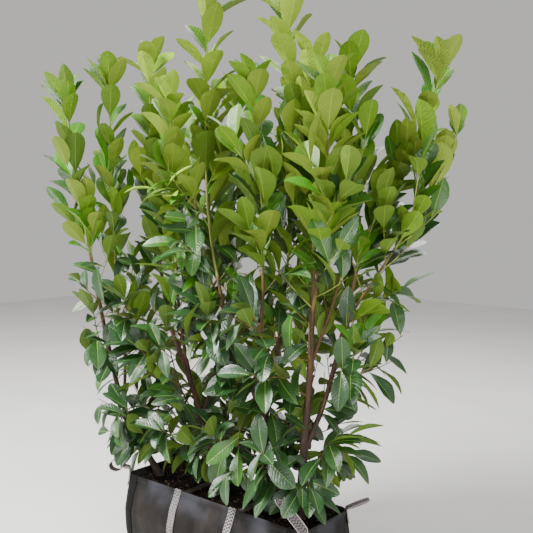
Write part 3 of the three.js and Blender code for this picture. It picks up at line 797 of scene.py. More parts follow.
LEAF_FINISHES = (
    LeafFinish("leaf_dark", shade(33, 67, 30), shade(88, 114, 42), shade(126, 158, 70), 0.95),
    LeafFinish("leaf_deep", shade(41, 79, 28), shade(100, 128, 42), shade(140, 172, 72), 0.85),
    LeafFinish("leaf_mid", shade(50, 95, 22), shade(100, 132, 38), shade(148, 176, 70), 0.6),
    LeafFinish("leaf_fresh", shade(66, 124, 14), shade(108, 144, 34), shade(156, 186, 68), 0.35),
    LeafFinish("leaf_olive", shade(80, 120, 24), shade(126, 148, 50), shade(160, 178, 78), 0.25),
    LeafFinish("leaf_lime", shade(122, 162, 30), shade(146, 172, 56), shade(184, 200, 92), 0.15),
)
TINT_TOPS = (0.27, 0.5, 0.62, 0.72, 0.9)
YOUNG_SHARE = 0.09

TURN = 144.0
TRIED_TURNS = (0, 36, -36, 72, -72, 120, -120)
CROWN_HEIGHTS = (250, 650, 1000, 1350, 1700, 2500)
CROWN_ENDS = (575, 668, 716, 812, 900, 925)
CROWN_SIDES = (235, 320, 360, 400, 420, 425)
CROWN_CORNER = 1.75
CROWN_TOP = 2452.0
CLOTHED_FROM = {"trunk": 0.13, "bough": 0.12}
CLOTHED_STEP = 45.0


@dataclass(frozen=True)
class Viewpoint:
    """Where the hedge is seen from, in metres and degrees."""

    place: tuple[float, float, float] = (2.193, -2.331, 1.53)
    azimuth: float = 40.6
    pitch: float = -4.4
    lens: float = 52.5
    sensor: float = 36.0

    def seen(self, points: Array) -> Array:
        """Where points appear.

        Args:
            points: the points, in millimetres.

        Returns:
            For each, how far right and up over its distance, and the distance in millimetres.
        """
        turn, tilt = math.radians(self.azimuth), math.radians(self.pitch)
        right = np.array([math.cos(turn), math.sin(turn), 0.0])
        ahead = np.array([-math.sin(turn) * math.cos(tilt), math.cos(turn) * math.cos(tilt),
                          math.sin(tilt)])
        up = np.cross(right, ahead)
        away = points - np.array(self.place) / MM
        depth = away @ ahead
        return np.stack([away @ right / depth, away @ up / depth, depth], axis=-1)


@dataclass(frozen=True)
class Clearing:
    """A stretch of stem that no leaf hides: its line, its shares and the width kept clear."""

    line: str
    start: float
    end: float
    half: float = 17.0


CLEARINGS = (
    Clearing("trunk_right", 0.4, 0.86, 20),
    Clearing("trunk_mid_left", 0.34, 0.62, 18),
    Clearing("trunk_mid_right", 0.86, 1.0, 14),
    Clearing("shoot_tall_left", 0.0, 0.4, 13),
    Clearing("bough_mid_right_front", 0.5, 0.9, 12),
)


@dataclass(frozen=True)
class Leaf:
    """Where one leaf stands, with its sizes in millimetres and shares of its length."""

    base: Array
    along: Array
    across: Array
    up: Array
    length: float
    width: float
    curl: float
    fold: float
    wave: float
    phase: float
    slender: float
    tint: int


@dataclass
class Growth:
    """What has grown in one mass: its stems and twigs as points with radii, and its leaves."""

    stems: list[tuple[Array, Array]] = field(default_factory=list)
    leaves: list[Leaf] = field(default_factory=list)
    taken: list[Array] = field(default_factory=list)
    tint: int = 0


class Skeleton:
    """The limbs' and the masses' own lines, and the space that each mass may fill."""

    HOME_SPANS = 7
    LIMB_SPANS = 10
    CLOTHED_POINTS = 7
    SIGHT_POINTS = 12

    SPRAY_OUT = 1.6
    SPRAY_UP = 0.5
    SPRAY_RISE = 0.4
    SHOOT_RISE = 0.9

    BORDER_SLACK = 12.0
    BARK_SPARE = 3.0
    LIMB_GAP = 4.0
    ROOT_REACH = 40.0
    BEFORE_STEM = 5.0
    OUT_OF_VIEW = 9.0

    LOOP_TOP = 430.0
    LOOP_X = (462.0, 562.0)
    LOOP_Y = (112.0, 208.0)
    AIRY_PLACES = (-470.0, -400.0, 150.0, 260.0)
    AIRY_HEIGHTS = (RIM + 12, RIM + 62, RIM + 62, RIM + 12)
    HANGS_PAST = (-420.0, 230.0)
    INNER_HALF = (480.0, 132.0)
    OUTER_HALF = (530.0, 212.0)
    OFF_COMPOST = 8.0
    HANGS_DOWN = 80.0

    def __init__(self) -> None:
        """Works out every line from the tables."""
        self.limbs: dict[str, Line] = {}
        for limb in LIMBS:
            if limb.parent:
                start = self.limbs[limb.parent].at(limb.at)
            else:
                start = np.array([*limb.start, COMPOST_TOP], float)
            self.limbs[limb.name] = Line.through([start, *limb.via, limb.tip])
        self.sizes = {limb.name: limb for limb in LIMBS}
        self.homes = {mass.name: self.home_of(mass) for mass in MASSES}
        spans = [(number, self.homes[mass.name].even(self.HOME_SPANS))
                 for number, mass in enumerate(MASSES)]
        for number, mass in enumerate(MASSES):
            if mass.at is None:
                limb = self.limbs[mass.limb]
                shares = np.linspace(self.clothed_from(mass.limb), 1, self.CLOTHED_POINTS)
                spans.append((number, np.array([limb.at(share) for share in shares])))
        self.starts = np.concatenate([points[:-1] for _, points in spans])
        self.ends = np.concatenate([points[1:] for _, points in spans])
        self.owners = np.concatenate([
            np.full(len(points) - 1, number) for number, points in spans])
        limb_points = [line.even(self.LIMB_SPANS) for line in self.limbs.values()]
        self.limb_starts = np.concatenate([points[:-1] for points in limb_points])
        self.limb_ends = np.concatenate([points[1:] for points in limb_points])
        self.limb_thick = np.concatenate([
            np.full(self.LIMB_SPANS, limb.thick[0] + self.BARK_SPARE) for limb in LIMBS])
        self.view = Viewpoint()
        self.sights = []
        for clearing in CLEARINGS:
            line = {**self.limbs, **self.homes}[clearing.line]
            shares = np.linspace(clearing.start, clearing.end, self.SIGHT_POINTS)
            points = np.array([line.at(share) for share in shares])
            self.sights.append((self.view.seen(points), clearing.half))

    @staticmethod
    def clothed_from(limb: str) -> float:
        """The share of a limb's length where its own twigs begin."""
        return CLOTHED_FROM[limb.split("_")[0]]

    def radius(self, limb: Limb, far: float) -> float:
        """A limb's radius at a distance along it, with the flare of its foot."""
        share = far / self.limbs[limb.name].length
        tapered = limb.thick[0] + (limb.thick[1] - limb.thick[0]) * share
        return tapered + limb.flare * math.exp(-far / FLARE_HEIGHT)

    def home_of(self, mass: Mass) -> Line:
        """The line of a mass's own stem.

        Args:
            mass: the mass.

        Returns:
            The line, from its limb to its tip.
        """
        limb = self.limbs[mass.limb]
        tip = np.array(mass.tip, float)
        carries_on = mass.at is None
        start = limb.at(1.0 if carries_on else mass.at)
        length = float(np.linalg.norm(tip - start))
        flat = (tip - start) * [1, 1, 0] / length
        out = limb.run(1.0) if carries_on else unit(flat * self.SPRAY_OUT + UP * self.SPRAY_UP)
        bend = start + out * length / 3
        rise = unit(unit(tip - bend) + UP * (self.SHOOT_RISE if carries_on else self.SPRAY_RISE))
        return Line.bowed(start, bend, tip - rise * length / 3, tip)

    def inside(self, number: int, points: Array, roots: list[Array]) -> bool:
        """Whether points lie in a mass's own space.

        Args:
            number: the mass's number.
            points: the points.
            roots: places near which they may touch a limb.

        Returns:
            True if all lie in it.
        """
        height = points[:, 2]
        across = np.abs(points[:, 0]) / np.interp(height, CROWN_HEIGHTS, CROWN_ENDS)
        deep = np.abs(points[:, 1]) / np.interp(height, CROWN_HEIGHTS, CROWN_SIDES)
        if (across > 1).any() or (deep > 1).any() or (across + deep > CROWN_CORNER).any():
            return False
        if (height > CROWN_TOP).any() or self.hides_stem(points):
            return False
        if not self.clear_of_planter(points):
            return False
        away = far_from(points, self.starts, self.ends)
        own = away[:, self.owners == number].min(axis=1)
        other = away[:, self.owners != number].min(axis=1)
        if (other < own - self.BORDER_SLACK).any():
            return False
        from_limbs = far_from(points, self.limb_starts, self.limb_ends) - self.limb_thick
        excused = np.any([np.linalg.norm(points - root, axis=1) < self.ROOT_REACH
                          for root in roots], axis=0)
        return bool(((from_limbs.min(axis=1) > self.LIMB_GAP) | excused).all())

    def hides_stem(self, points: Array) -> bool:
        """Whether any of the points stands before a stretch of stem that is kept in view."""
        seen = self.view.seen(points)
        for stem, half in self.sights:
            across = np.interp(seen[:, 1], stem[:, 1], stem[:, 0],
                               left=self.OUT_OF_VIEW, right=self.OUT_OF_VIEW)
            depth = np.interp(seen[:, 1], stem[:, 1], stem[:, 2])
            in_line = np.abs(seen[:, 0] - across) * depth < half
            if (in_line & (seen[:, 2] < depth + self.BEFORE_STEM)).any():
                return True
        return False

    def clear_of_planter(self, points: Array) -> bool:
        """Whether points keep off the compost, the bag, its straps and its loops."""
        x, y, z = np.abs(points[:, 0]), np.abs(points[:, 1]), points[:, 2]
        by_loop = ((x > self.LOOP_X[0]) & (x < self.LOOP_X[1])
                   & (y > self.LOOP_Y[0]) & (y < self.LOOP_Y[1]))
        if ((z < self.LOOP_TOP) & by_loop).any():
            return False
        airy = np.interp(points[:, 0], self.AIRY_PLACES, self.AIRY_HEIGHTS)
        hangs = (points[:, 0] < self.HANGS_PAST[0]) | (points[:, 0] > self.HANGS_PAST[1])
        within = ((x < self.INNER_HALF[0]) & (y < self.INNER_HALF[1])
                  & (z > COMPOST_TOP + self.OFF_COMPOST))
        outside = (((x > self.OUTER_HALF[0]) | (y > self.OUTER_HALF[1]))
                   & (z > RIM - self.HANGS_DOWN))
        return bool(((z > airy) | (within | outside) & hangs).all())


BLADE_PROBES = np.array([(s, c) for s in (0.25, 0.45, 0.65, 0.85, 1.0) for c in (-0.8, 0.0, 0.8)])


class Grower:
    """Grows the stem, twigs and leaves of one mass by a seeded rule, in the mass's own space."""

    SEED = 4099
    SEED_FROM = 7
    TINT_FROM = 580
    TINT_SPAN = 1500
    TINT_SPREAD = (-0.38, 0.26)
    YOUNG_ABOVE = 950
    YOUNG_TINT = 3
    NODES_PER_TINT = 5

    STEM_STEPS = 26
    SIDE_FOOT = 3.9
    STEM_END = 1.9
    BARE_TIP = 48
    TIP_LEAVES = 6
    TWIG_TURN = 170
    TURN_SPREAD = 14
    TWIG_POINTS = 7
    TWIG_RADII = (2.4, 1.5)
    TWIG_SHRINKS = (1.0, 0.7)
    TWIG_LEAF = 0.92

    LEAF_GAP = 12
    REMEMBERED = 260
    SHRINKS = (1.0, 0.84, 0.7)

    def __init__(self, skeleton: Skeleton, number: int, mass: Mass) -> None:
        """Keeps the skeleton and the mass, and starts the mass's own random numbers."""
        self.skeleton = skeleton
        self.number = number
        self.mass = mass
        self.line = skeleton.homes[mass.name]
        self.root = self.line.at(0)
        seed = self.SEED * (number + self.SEED_FROM)
        self.random = np.random.default_rng(seed)
        self.grown = Growth()

    def deal_tint(self, height: float) -> None:
        """Deals a tint to the next spray: darker low down, paler on top, with some young ones."""
        level = (height - self.TINT_FROM) / self.TINT_SPAN + self.random.uniform(*self.TINT_SPREAD)
        self.grown.tint = int(np.searchsorted(TINT_TOPS, level))
        if self.random.random() < YOUNG_SHARE and height > self.YOUNG_ABOVE:
            self.grown.tint = max(self.grown.tint, self.YOUNG_TINT)

    def grow(self) -> Growth:
        """Grows the mass: what stands on its limb, its stem, its twigs and its leaves."""
        habit = HABITS[self.mass.zone]
        line = self.line
        limb_radius = self.skeleton.sizes[self.mass.limb].thick[1]
        foot = limb_radius if self.mass.at is None else self.SIDE_FOOT
        points = line.even(self.STEM_STEPS)
        self.grown.stems.append((points, np.linspace(foot, self.STEM_END, len(points))))
        aside = aside_of(line.at(1) - self.root)
        self.deal_tint(line.at(1)[2])
        spin = self.random.uniform(0, 360)
        for k in range(self.TIP_LEAVES):
            share = 1 - (2 + 7 * k) / line.length
            self.leaf(habit, line.at(share), line.run(share), aside, spin + k * TURN,
                      14 + 6 * k, 0.82 + 0.04 * k)
        if self.mass.at is None:
            self.clothe(self.skeleton.limbs[self.mass.limb],
                        self.skeleton.clothed_from(self.mass.limb))
        turn = self.random.uniform(0, 360)
        far = habit.first_node
        node = 0
        while far < line.length - self.BARE_TIP:
            share = far / line.length
            place, run = line.at(share), line.run(share)
            if node % self.NODES_PER_TINT == 0:
                self.deal_tint(place[2])
            if share < habit.twig_share and node % (habit.twig_every + 1) == 0:
                stem_tint = self.grown.tint
                self.twig(habit, place, run, aside, turn)
                self.grown.tint = stem_tint
                turn += self.TWIG_TURN
            self.leaf(habit, place, run, aside, turn, habit.leaf_angle, 1.0)
            turn += TURN + self.random.uniform(-self.TURN_SPREAD, self.TURN_SPREAD)
            far += habit.leaf_step * self.mass.airy * self.random.uniform(0.85, 1.2)
            node += 1
        return self.grown

    def clothe(self, limb: Line, share: float) -> None:
        """Grows twigs and leaves on a limb, under the mass at its tip.

        Args:
            limb: the limb's line.
            share: the share of its length where they begin.
        """
        aside = aside_of(limb.at(1) - limb.at(0))
        turn = self.random.uniform(0, 360)
        far = limb.length * share
        node = 0
        while far < limb.length:
            place, run = limb.at(far / limb.length), limb.run(far / limb.length)
            habit = HABITS[next(zone for zone, top in ZONE_TOPS.items() if place[2] < top)]
            if node % 3 != 1:
                self.twig(habit, place, run, aside, turn)
            else:
                self.deal_tint(place[2])
                self.leaf(habit, place, run, aside, turn, habit.leaf_angle + 8, 1.0)
            turn += TURN + self.random.uniform(-self.TURN_SPREAD, self.TURN_SPREAD)
            far += CLOTHED_STEP * self.mass.airy * self.random.uniform(0.8, 1.25)
            node += 1

    def twig(self, habit: Habit, place: Array, run: Array, aside: Array,
             turn: float) -> None:
        """Grows a bowed side twig with its leaves, if there is room for it.

        Args:
            habit: the habit of its part of the crown.
            place: where the twig starts.
            run: the way that the stem runs there.
            aside: the stem's sideways direction.
            turn: the twig's turn round the stem.
        """
        steps = np.linspace(0, 1, self.TWIG_POINTS)[:, None]
        for size in self.TWIG_SHRINKS:
            length = habit.twig_length * size * self.random.uniform(0.7, 1.2)
            for tried in TRIED_TURNS:
                way = unit(branching(run, aside, turn + tried, habit.twig_angle) + UP * 0.2)
                bow = unit(way + UP * 0.35)
                points = (place + way * length * steps * (1 - steps / 2)
                          + bow * length * steps ** 2 / 2)
                if self.skeleton.inside(self.number, points[1:], [self.root, place]):
                    self.grown.stems.append((points, np.linspace(*self.TWIG_RADII, len(points))))
                    self.deal_tint(points[-1][2])
                    self.leafy(habit, points, length)
                    return

    def leafy(self, habit: Habit, points: Array, length: float) -> None:
        """Sets leaves along a twig and on its end.

        Args:
            habit: the habit of its part of the crown.
            points: the twig's points.
            length: its length.
        """
        side = aside_of(points[-1] - points[0])
        spin = self.random.uniform(0, 360)
        far = habit.leaf_step * 0.9
        last = len(points) - 2
        while far < length - 8:
            step = far / length * (last + 1)
            k = min(int(step), last)
            at = points[k] + (points[k + 1] - points[k]) * (step - k)
            self.leaf(habit, at, unit(points[k + 1] - points[k]), side, spin, habit.leaf_angle,
                      self.TWIG_LEAF)
            spin += TURN
            far += habit.leaf_step * self.mass.airy * 1.1
        run = unit(points[-1] - points[-2])
        self.leaf(habit, points[-1] - run * 2, run, side, spin, 14, 0.85)

    def leaf(self, habit: Habit, place: Array, run: Array, aside: Array,
             turn: float, angle: float, size: float) -> None:
        """Grows a leaf, if there is room for it.

        Args:
            habit: the habit of its part of the crown.
            place: where the leaf starts.
            run: the way that the twig runs there.
            aside: the twig's sideways direction.
            turn: the leaf's turn round the twig.
            angle: how far it stands off the twig, in degrees.
            size: share of the full size.
        """
        random = self.random
        length = random.uniform(*habit.leaf_length) * size
        slender = float(np.clip(habit.slender + random.uniform(-0.45, 0.45), 0, 1))
        width = 0.5 - 0.15 * slender + random.uniform(-0.02, 0.02)
        tilt = angle * random.uniform(0.75, 1.25)
        droop = habit.droop * random.uniform(0.3, 1.8)
        curl = habit.curl * random.uniform(0.2, 1.6)
        roll = random.uniform(-0.35, 0.35) * (1 + 1.5 * droop)
        palest = max(4, self.grown.tint)
        tint = int(np.clip(self.grown.tint + random.choice((-1, 0, 0, 0, 1)), 0, palest))
        shares, sides = BLADE_PROBES[:, :1], BLADE_PROBES[:, 1:]
        for shrink in self.SHRINKS:
            now = length * shrink
            for tried in TRIED_TURNS:
                along = unit(branching(run, aside, turn + tried, tilt) - UP * droop)
                across = np.cross(along, run + UP * 0.8)
                if np.linalg.norm(across) < 0.05:
                    across = aside_of(along)
                across = unit(unit(across) + np.cross(along, unit(across)) * roll)
                up = np.cross(across, along)
                half = np.interp(shares, LeafForm.SHARES, LeafForm.BROAD) * width * now / 2
                probes = (place + along * shares * now + across * sides * half
                          - up * curl * shares ** 2.2 * now)
                if not self.skeleton.inside(self.number, probes, [self.root, place]):
                    continue
                if self.grown.taken:
                    near = np.concatenate(self.grown.taken[-self.REMEMBERED:])
                    gaps = np.linalg.norm(probes[:, None] - near[None], axis=2)
                    if (gaps < self.LEAF_GAP).any():
                        continue
                self.grown.taken.append(probes)
                self.grown.leaves.append(Leaf(
                    place, along, across, up, now, width, curl,
                    fold=habit.fold * random.uniform(0.4, 1.7),
                    wave=random.uniform(0.006, 0.024), phase=random.uniform(0, 6.28),
                    slender=slender, tint=tint))
                return


def branching(run: Array, aside: Array, turn: float, angle: float) -> Array:
    """A direction that leaves a stem at an angle, turned round it.

    Args:
        run: the way that the stem runs.
        aside: its sideways direction.
        turn: the turn round it, in degrees.
        angle: the angle to it, in degrees.

    Returns:
        The direction.
    """
    first = square_to(run, aside)
    second = np.cross(run, first)
    out = first * math.cos(math.radians(turn)) + second * math.sin(math.radians(turn))
    return run * math.cos(math.radians(angle)) + out * math.sin(math.radians(angle))


class LeafForm:
    """The faces and outline shared by every leaf, from its stalk to its tip."""

    SHARES = np.array([0.0, 0.05, 0.15, 0.3, 0.47, 0.63, 0.78, 0.9, 0.97, 1.0])
    BROAD = np.array([0.05, 0.045, 0.25, 0.59, 0.87, 1.0, 0.94, 0.68, 0.32, 0.05])
    SLENDER = np.array([0.06, 0.05, 0.34, 0.75, 0.98, 0.97, 0.74, 0.43, 0.2, 0.06])
    MIDRIB = 1.15
    WIDEST_MIDRIB = 0.45
    BEND = 0.55
    BULGE = 0.07
    KEEL = 0.012
    WAVES = 10.0
    COLUMNS = 6
    SHARP = math.radians(70)
    BLADE = "blade"

    def __init__(self) -> None:
        """Lists the faces of one leaf with the finish of each: upper side, underside, midrib."""
        rows, columns = len(self.SHARES), self.COLUMNS
        self.count = rows * (columns + 2)
        self.faces = grid_faces(rows, columns)
        self.sides = [2 if k == 2 else 0 for _ in range(rows - 1) for k in range(columns - 1)]
        keel, tip = rows * columns, (rows - 1) * columns
        for j in range(rows - 1):
            left, right, ridge = j * columns, j * columns + columns - 1, keel + 2 * j
            self.faces.append((left, left + columns, ridge + 2, ridge))
            self.faces.append((ridge, ridge + 2, ridge + 3, ridge + 1))
            self.faces.append((ridge + 1, ridge + 3, right + columns, right))
            self.sides += [1, 2, 1]
        self.faces.append((keel, keel + 1, *range(columns - 1, -1, -1)))
        self.faces.append((*range(tip, tip + columns), self.count - 1, self.count - 2))
        self.sides += [2, 2]

    def points(self, leaves: list[Leaf]) -> tuple[Array, Array]:
        """Places every leaf's points.

        Args:
            leaves: the leaves.

        Returns:
            The points, one leaf after another, and their places on the blade.
        """
        def gather(key: str) -> Array:
            """One number of every leaf, as a column."""
            return np.array([getattr(leaf, key) for leaf in leaves])[:, None, None]

        def directions(key: str) -> Array:
            """One direction of every leaf."""
            return np.array([getattr(leaf, key) for leaf in leaves])[:, None, None, :]

        share = self.SHARES[None, :, None]
        length, count = gather("length"), len(leaves)
        outline = (self.BROAD[None, :, None]
                   + gather("slender") * (self.SLENDER - self.BROAD)[None, :, None])
        half = outline * gather("width") * length / 2
        rib = np.minimum(self.MIDRIB * (1.1 - 0.7 * share) / half, self.WIDEST_MIDRIB)
        edge = np.ones_like(half)
        bend = self.BEND * edge
        column = np.concatenate([-edge, -bend, -rib, rib, bend, edge], axis=2)
        side = column * half
        off = np.abs(column)
        bulge = self.BULGE * half * np.sin(np.pi * off)
        swing = np.sin(self.WAVES * share + gather("phase") + 1.7 * np.sign(column))
        wave = gather("wave") * length * swing * off ** 2 * np.sin(np.pi * share)
        curl = gather("curl") * share ** 2.2 * length
        lift = gather("fold") * np.abs(side) + bulge + wave - curl
        flat = share * length * (1 - 0.35 * gather("curl") * share) + 0 * column
        top = (directions("base") + directions("along") * flat[..., None]
               + directions("across") * side[..., None] + directions("up") * lift[..., None])
        drop = (self.KEEL * length * (1 - 0.75 * share))[..., None]
        keel = top[:, :, 2:4] - directions("up") * drop
        points = np.concatenate([top.reshape(count, -1, 3), keel.reshape(count, -1, 3)], axis=1)
        uv = np.stack(np.broadcast_arrays(column / 2 + 0.5, share), axis=-1)
        below = uv[:, :, 2:4].reshape(count, -1, 2)
        uv = np.concatenate([uv.reshape(count, -1, 2), below], axis=1)
        return points.reshape(-1, 3), uv.reshape(-1, 2)

    def mesh(self, leaves: list[Leaf], materials: list[Material]) -> Mesh:
        """Joins leaves in one mesh.

        Args:
            leaves: the leaves.
            materials: upper side, underside and midrib of each tint in turn.

        Returns:
            The mesh.
        """
        points, uv = self.points(leaves)
        mesh = mesh_of(points, [tuple(k + i * self.count for k in face)
                                for i in range(len(leaves)) for face in self.faces])
        for material in materials:
            mesh.materials.append(material)
        tints = np.array([leaf.tint for leaf in leaves])
        slots = tints[:, None] * 3 + np.array(self.sides)[None, :]
        mesh.polygons.foreach_set("material_index", slots.ravel().tolist())
        set_uv(mesh, self.BLADE, uv)
        mesh.set_sharp_from_angle(angle=self.SHARP)
        return mesh


class Rule(Graph):
    """A Geometry Nodes tree with named inputs, run once over a mesh."""

    def __init__(self, name: str, inputs: dict[str, tuple[str, float | int]]) -> None:
        """Makes the tree.

        Args:
            name: the tree's name.
            inputs: each named input with its socket type and value.
        """
        tree = bpy.data.node_groups.new(name, "GeometryNodeTree")
        super().__init__(tree)
        tree.interface.new_socket("Geometry", in_out="INPUT", socket_type="NodeSocketGeometry")
        tree.interface.new_socket("Geometry", in_out="OUTPUT", socket_type="NodeSocketGeometry")
        self.values = {}
        for key, (kind, value) in inputs.items():
            socket = tree.interface.new_socket(key, in_out="INPUT", socket_type=kind)
            self.values[key] = (socket.identifier, value)
        self.given = tree.nodes.new("NodeGroupInput")
        self.result = tree.nodes.new("NodeGroupOutput")

    def input(self, name: str) -> Value:
        """A named input."""
        return Value(self, self.given.outputs[name])

    def close(self, geometry: Value, material: Material) -> None:
        """Ends the tree: realized, smooth and dressed.

        Args:
            geometry: what the tree has made.
            material: its finish.
        """
        whole = self.add("GeometryNodeRealizeInstances", None, {0: geometry})
        smooth = self.add("GeometryNodeSetShadeSmooth", None, {"Geometry": whole})
        dressed = self.add("GeometryNodeSetMaterial", None,
                           {"Geometry": smooth, "Material": material})
        self.tree.links.new(dressed.socket, self.result.inputs[0])

    def run(self, name: str, source: Mesh) -> Object:
        """Runs the tree over a mesh.

        Args:
            name: the name of the piece that comes out.
            source: the mesh that goes in.

        Returns:
            The piece, as a plain mesh.
        """
        carrier = piece_of(name + "_source", source)
        modifier = carrier.modifiers.new("rule", "NODES")
        modifier.node_group = self.tree
        for identifier, value in self.values.values():
            modifier[identifier] = value
        graph = bpy.context.evaluated_depsgraph_get()
        mesh = bpy.data.meshes.new_from_object(carrier.evaluated_get(graph))
        bpy.data.objects.remove(carrier)
        return piece_of(name, mesh)


@dataclass
class Crown:
    """Foliage of the hedge: leaves and twigs of every mass, joined kind by kind."""

    skeleton: Skeleton
    twig_sides: int = 6
    leaf_form: LeafForm = field(default_factory=LeafForm)
    largest: int = 1200

    TWIGS = (
        (700.0, "brown_twigs", TwigFinish("brown_twig_bark", shade(64, 40, 26),
                                          shade(96, 64, 40), shade(110, 84, 50))),
        (1150.0, "tan_twigs", TwigFinish("tan_twig_bark", shade(84, 64, 32),
                                         shade(128, 108, 52), shade(140, 126, 64))),
        (9999.0, "green_twigs", TwigFinish("green_twig_bark", shade(96, 96, 40),
                                           shade(158, 164, 78), shade(170, 180, 92))),
    )

    def build(self) -> None:
        """Grows every mass and joins the leaves and the twigs."""
        grown = [Grower(self.skeleton, number, mass).grow() for number, mass in enumerate(MASSES)]
        materials = [material for finish in LEAF_FINISHES for material in finish.materials()]
        for zone in Zone:
            names = [mass.name for mass in MASSES if mass.zone is zone]
            leaves = [leaf for mass, growth in zip(MASSES, grown) if mass.zone is zone
                      for leaf in growth.leaves]
            parts = math.ceil(len(leaves) / self.largest)
            slot = "shoot_leaves" if zone is Zone.SHOOT else "spray_leaves"
            for part in range(parts):
                mesh = self.leaf_form.mesh(leaves[part::parts], materials)
                hand_over(piece_of(f"{zone.value}_foliage_{part + 1}", mesh), slot, *names)
            LOG.info("%s foliage: %d leaves in %d pieces", zone.value, len(leaves), parts)
        self.join_twigs([stem for growth in grown for stem in growth.stems])

    def join_twigs(self, stems: list[tuple[Array, Array]]) -> None:
        """Joins stems and twigs by the height that they start at.

        Args:
            stems: points and radii of each.
        """
        floor = 0.0
        for top, name, finish in self.TWIGS:
            chosen = [stem for stem in stems if floor <= stem[0][0][2] < top]
            floor = top
            hand_over(self.twigs(name, finish, chosen), "bough_bark",
                      *(mass.name for mass in MASSES))
            LOG.info("%s: %d", name, len(chosen))

    def twigs(self, name: str, finish: TwigFinish, stems: list[tuple[Array, Array]]) -> Object:
        """Sweeps a ring along each stem.

        Args:
            name: the piece's name.
            finish: the bark.
            stems: points and radii of each.

        Returns:
            The joined piece.
        """
        points = np.concatenate([line for line, _ in stems]) * MM
        radii = np.concatenate([radius for _, radius in stems]) * MM
        edges, start = [], 0
        for line, _ in stems:
            edges += [(start + k, start + k + 1) for k in range(len(line) - 1)]
            start += len(line)
        mesh = bpy.data.meshes.new("stems")
        mesh.from_pydata(points.tolist(), edges, [])
        thick = mesh.attributes.new("thick", "FLOAT", "POINT")
        thick.data.foreach_set("value", radii)
        rule = Rule(name + "_rule", {"Sides": ("NodeSocketInt", self.twig_sides)})
        curve = rule.add("GeometryNodeMeshToCurve", None, {"Mesh": rule.input("Geometry")})
        named = rule.add("GeometryNodeInputNamedAttribute", {"data_type": "FLOAT"},
                         {"Name": "thick"})
        ring = rule.add("GeometryNodeCurvePrimitiveCircle", None,
                        {"Resolution": rule.input("Sides"), "Radius": 1.0})
        swept = rule.add("GeometryNodeCurveToMesh", None,
                         {"Curve": curve, "Profile Curve": ring, "Fill Caps": True,
                          "Scale": named})
        rule.close(swept, finish.material())
        return rule.run(name, mesh)


@dataclass
class Limbwork:
    """Trunks and boughs with the relief of their bark."""

    skeleton: Skeleton
    sides: int = 22
    step: float = 9.0
    sunk: float = 0.4

    SEED = 977
    SCARS = 60
    SCAR_STEPS = (46, 92)

    def build(self) -> None:
        """Makes every limb in place of its solid."""
        finish = BarkFinish("trunk_bark", shade(56, 38, 30), shade(94, 61, 40),
                            shade(146, 124, 64))
        bark = finish.material()
        for number, limb in enumerate(LIMBS):
            made = piece_of(limb.name + "_bark", self.limb(number, limb), bark)
            hand_over(made, "bough_bark" if limb.parent else "trunk_bark", limb.name)
        LOG.info("limbs: %d", len(LIMBS))

    def limb(self, number: int, limb: Limb) -> Mesh:
        """Makes one limb.

        Args:
            number: its number, which seeds its relief.
            limb: its sizes.

        Returns:
            Its mesh.
        """
        line = self.skeleton.limbs[limb.name]
        random = np.random.default_rng(self.SEED + number)
        count = int(line.length / self.step)
        turn = np.linspace(0, 2 * math.pi, self.sides, endpoint=False)
        aside = np.array([0.0, 1.0, 0.0])
        scars = np.cumsum(random.uniform(*self.SCAR_STEPS, self.SCARS))
        phases = random.uniform(0, 6.28, 8)
        rings = []
        for k in range(count + 1):
            far = line.length * k / count
            place, run = line.at(k / count), line.run(k / count)
            radius = self.skeleton.radius(limb, far)
            swell = 0.09 * np.exp(-((far - scars) / 5.0) ** 2).sum()
            collar = 0.35 * math.exp(-far / 14) if limb.parent else 0.0
            fluted = 0.16 * math.exp(-far / 45) if limb.flare else 0.0
            ridge = fluted * np.cos(3 * turn + phases[0])
            fine = (0.022 * np.sin(5 * turn + far / 21 + phases[1])
                    + 0.018 * np.sin(9 * turn - far / 13 + phases[2])
                    + 0.02 * math.sin(far / 9 + phases[3]))
            reach = radius * (1 + swell + collar + ridge + fine)
            first = square_to(run, aside)
            second = np.cross(run, first)
            ring = place + (np.outer(np.cos(turn) * reach, first)
                            + np.outer(np.sin(turn) * reach, second))
            if not limb.parent:
                ring[:, 2] = np.maximum(ring[:, 2], COMPOST_TOP - self.sunk)
            rings.append(ring)
        points = np.concatenate([*rings, [line.at(0)], [line.at(1)]])
        faces = grid_faces(count + 1, self.sides, closed=True)
        low, high = len(points) - 2, len(points) - 1
        top = count * self.sides
        for k in range(self.sides):
            after = (k + 1) % self.sides
            faces.append((low, after, k))
            faces.append((high, top + k, top + after))
        return mesh_of(points, faces)


# Planter


BAG_LEVELS = np.array([
    (0, 480, 168, 60, 0), (36, 494, 184, 66, 4), (110, 506, 190, 70, 9), (190, 509, 191, 70, 11),
    (265, 505, 174, 60, 9), (310, 501, 157, 48, 4), (340, 500, 150, 42, 0)], float)
STRAP_PLACES = {"strap_left": -164.0, "strap_right": 148.0}
WEB_WIDTH = 38.0
WEB_THICK = 2.5


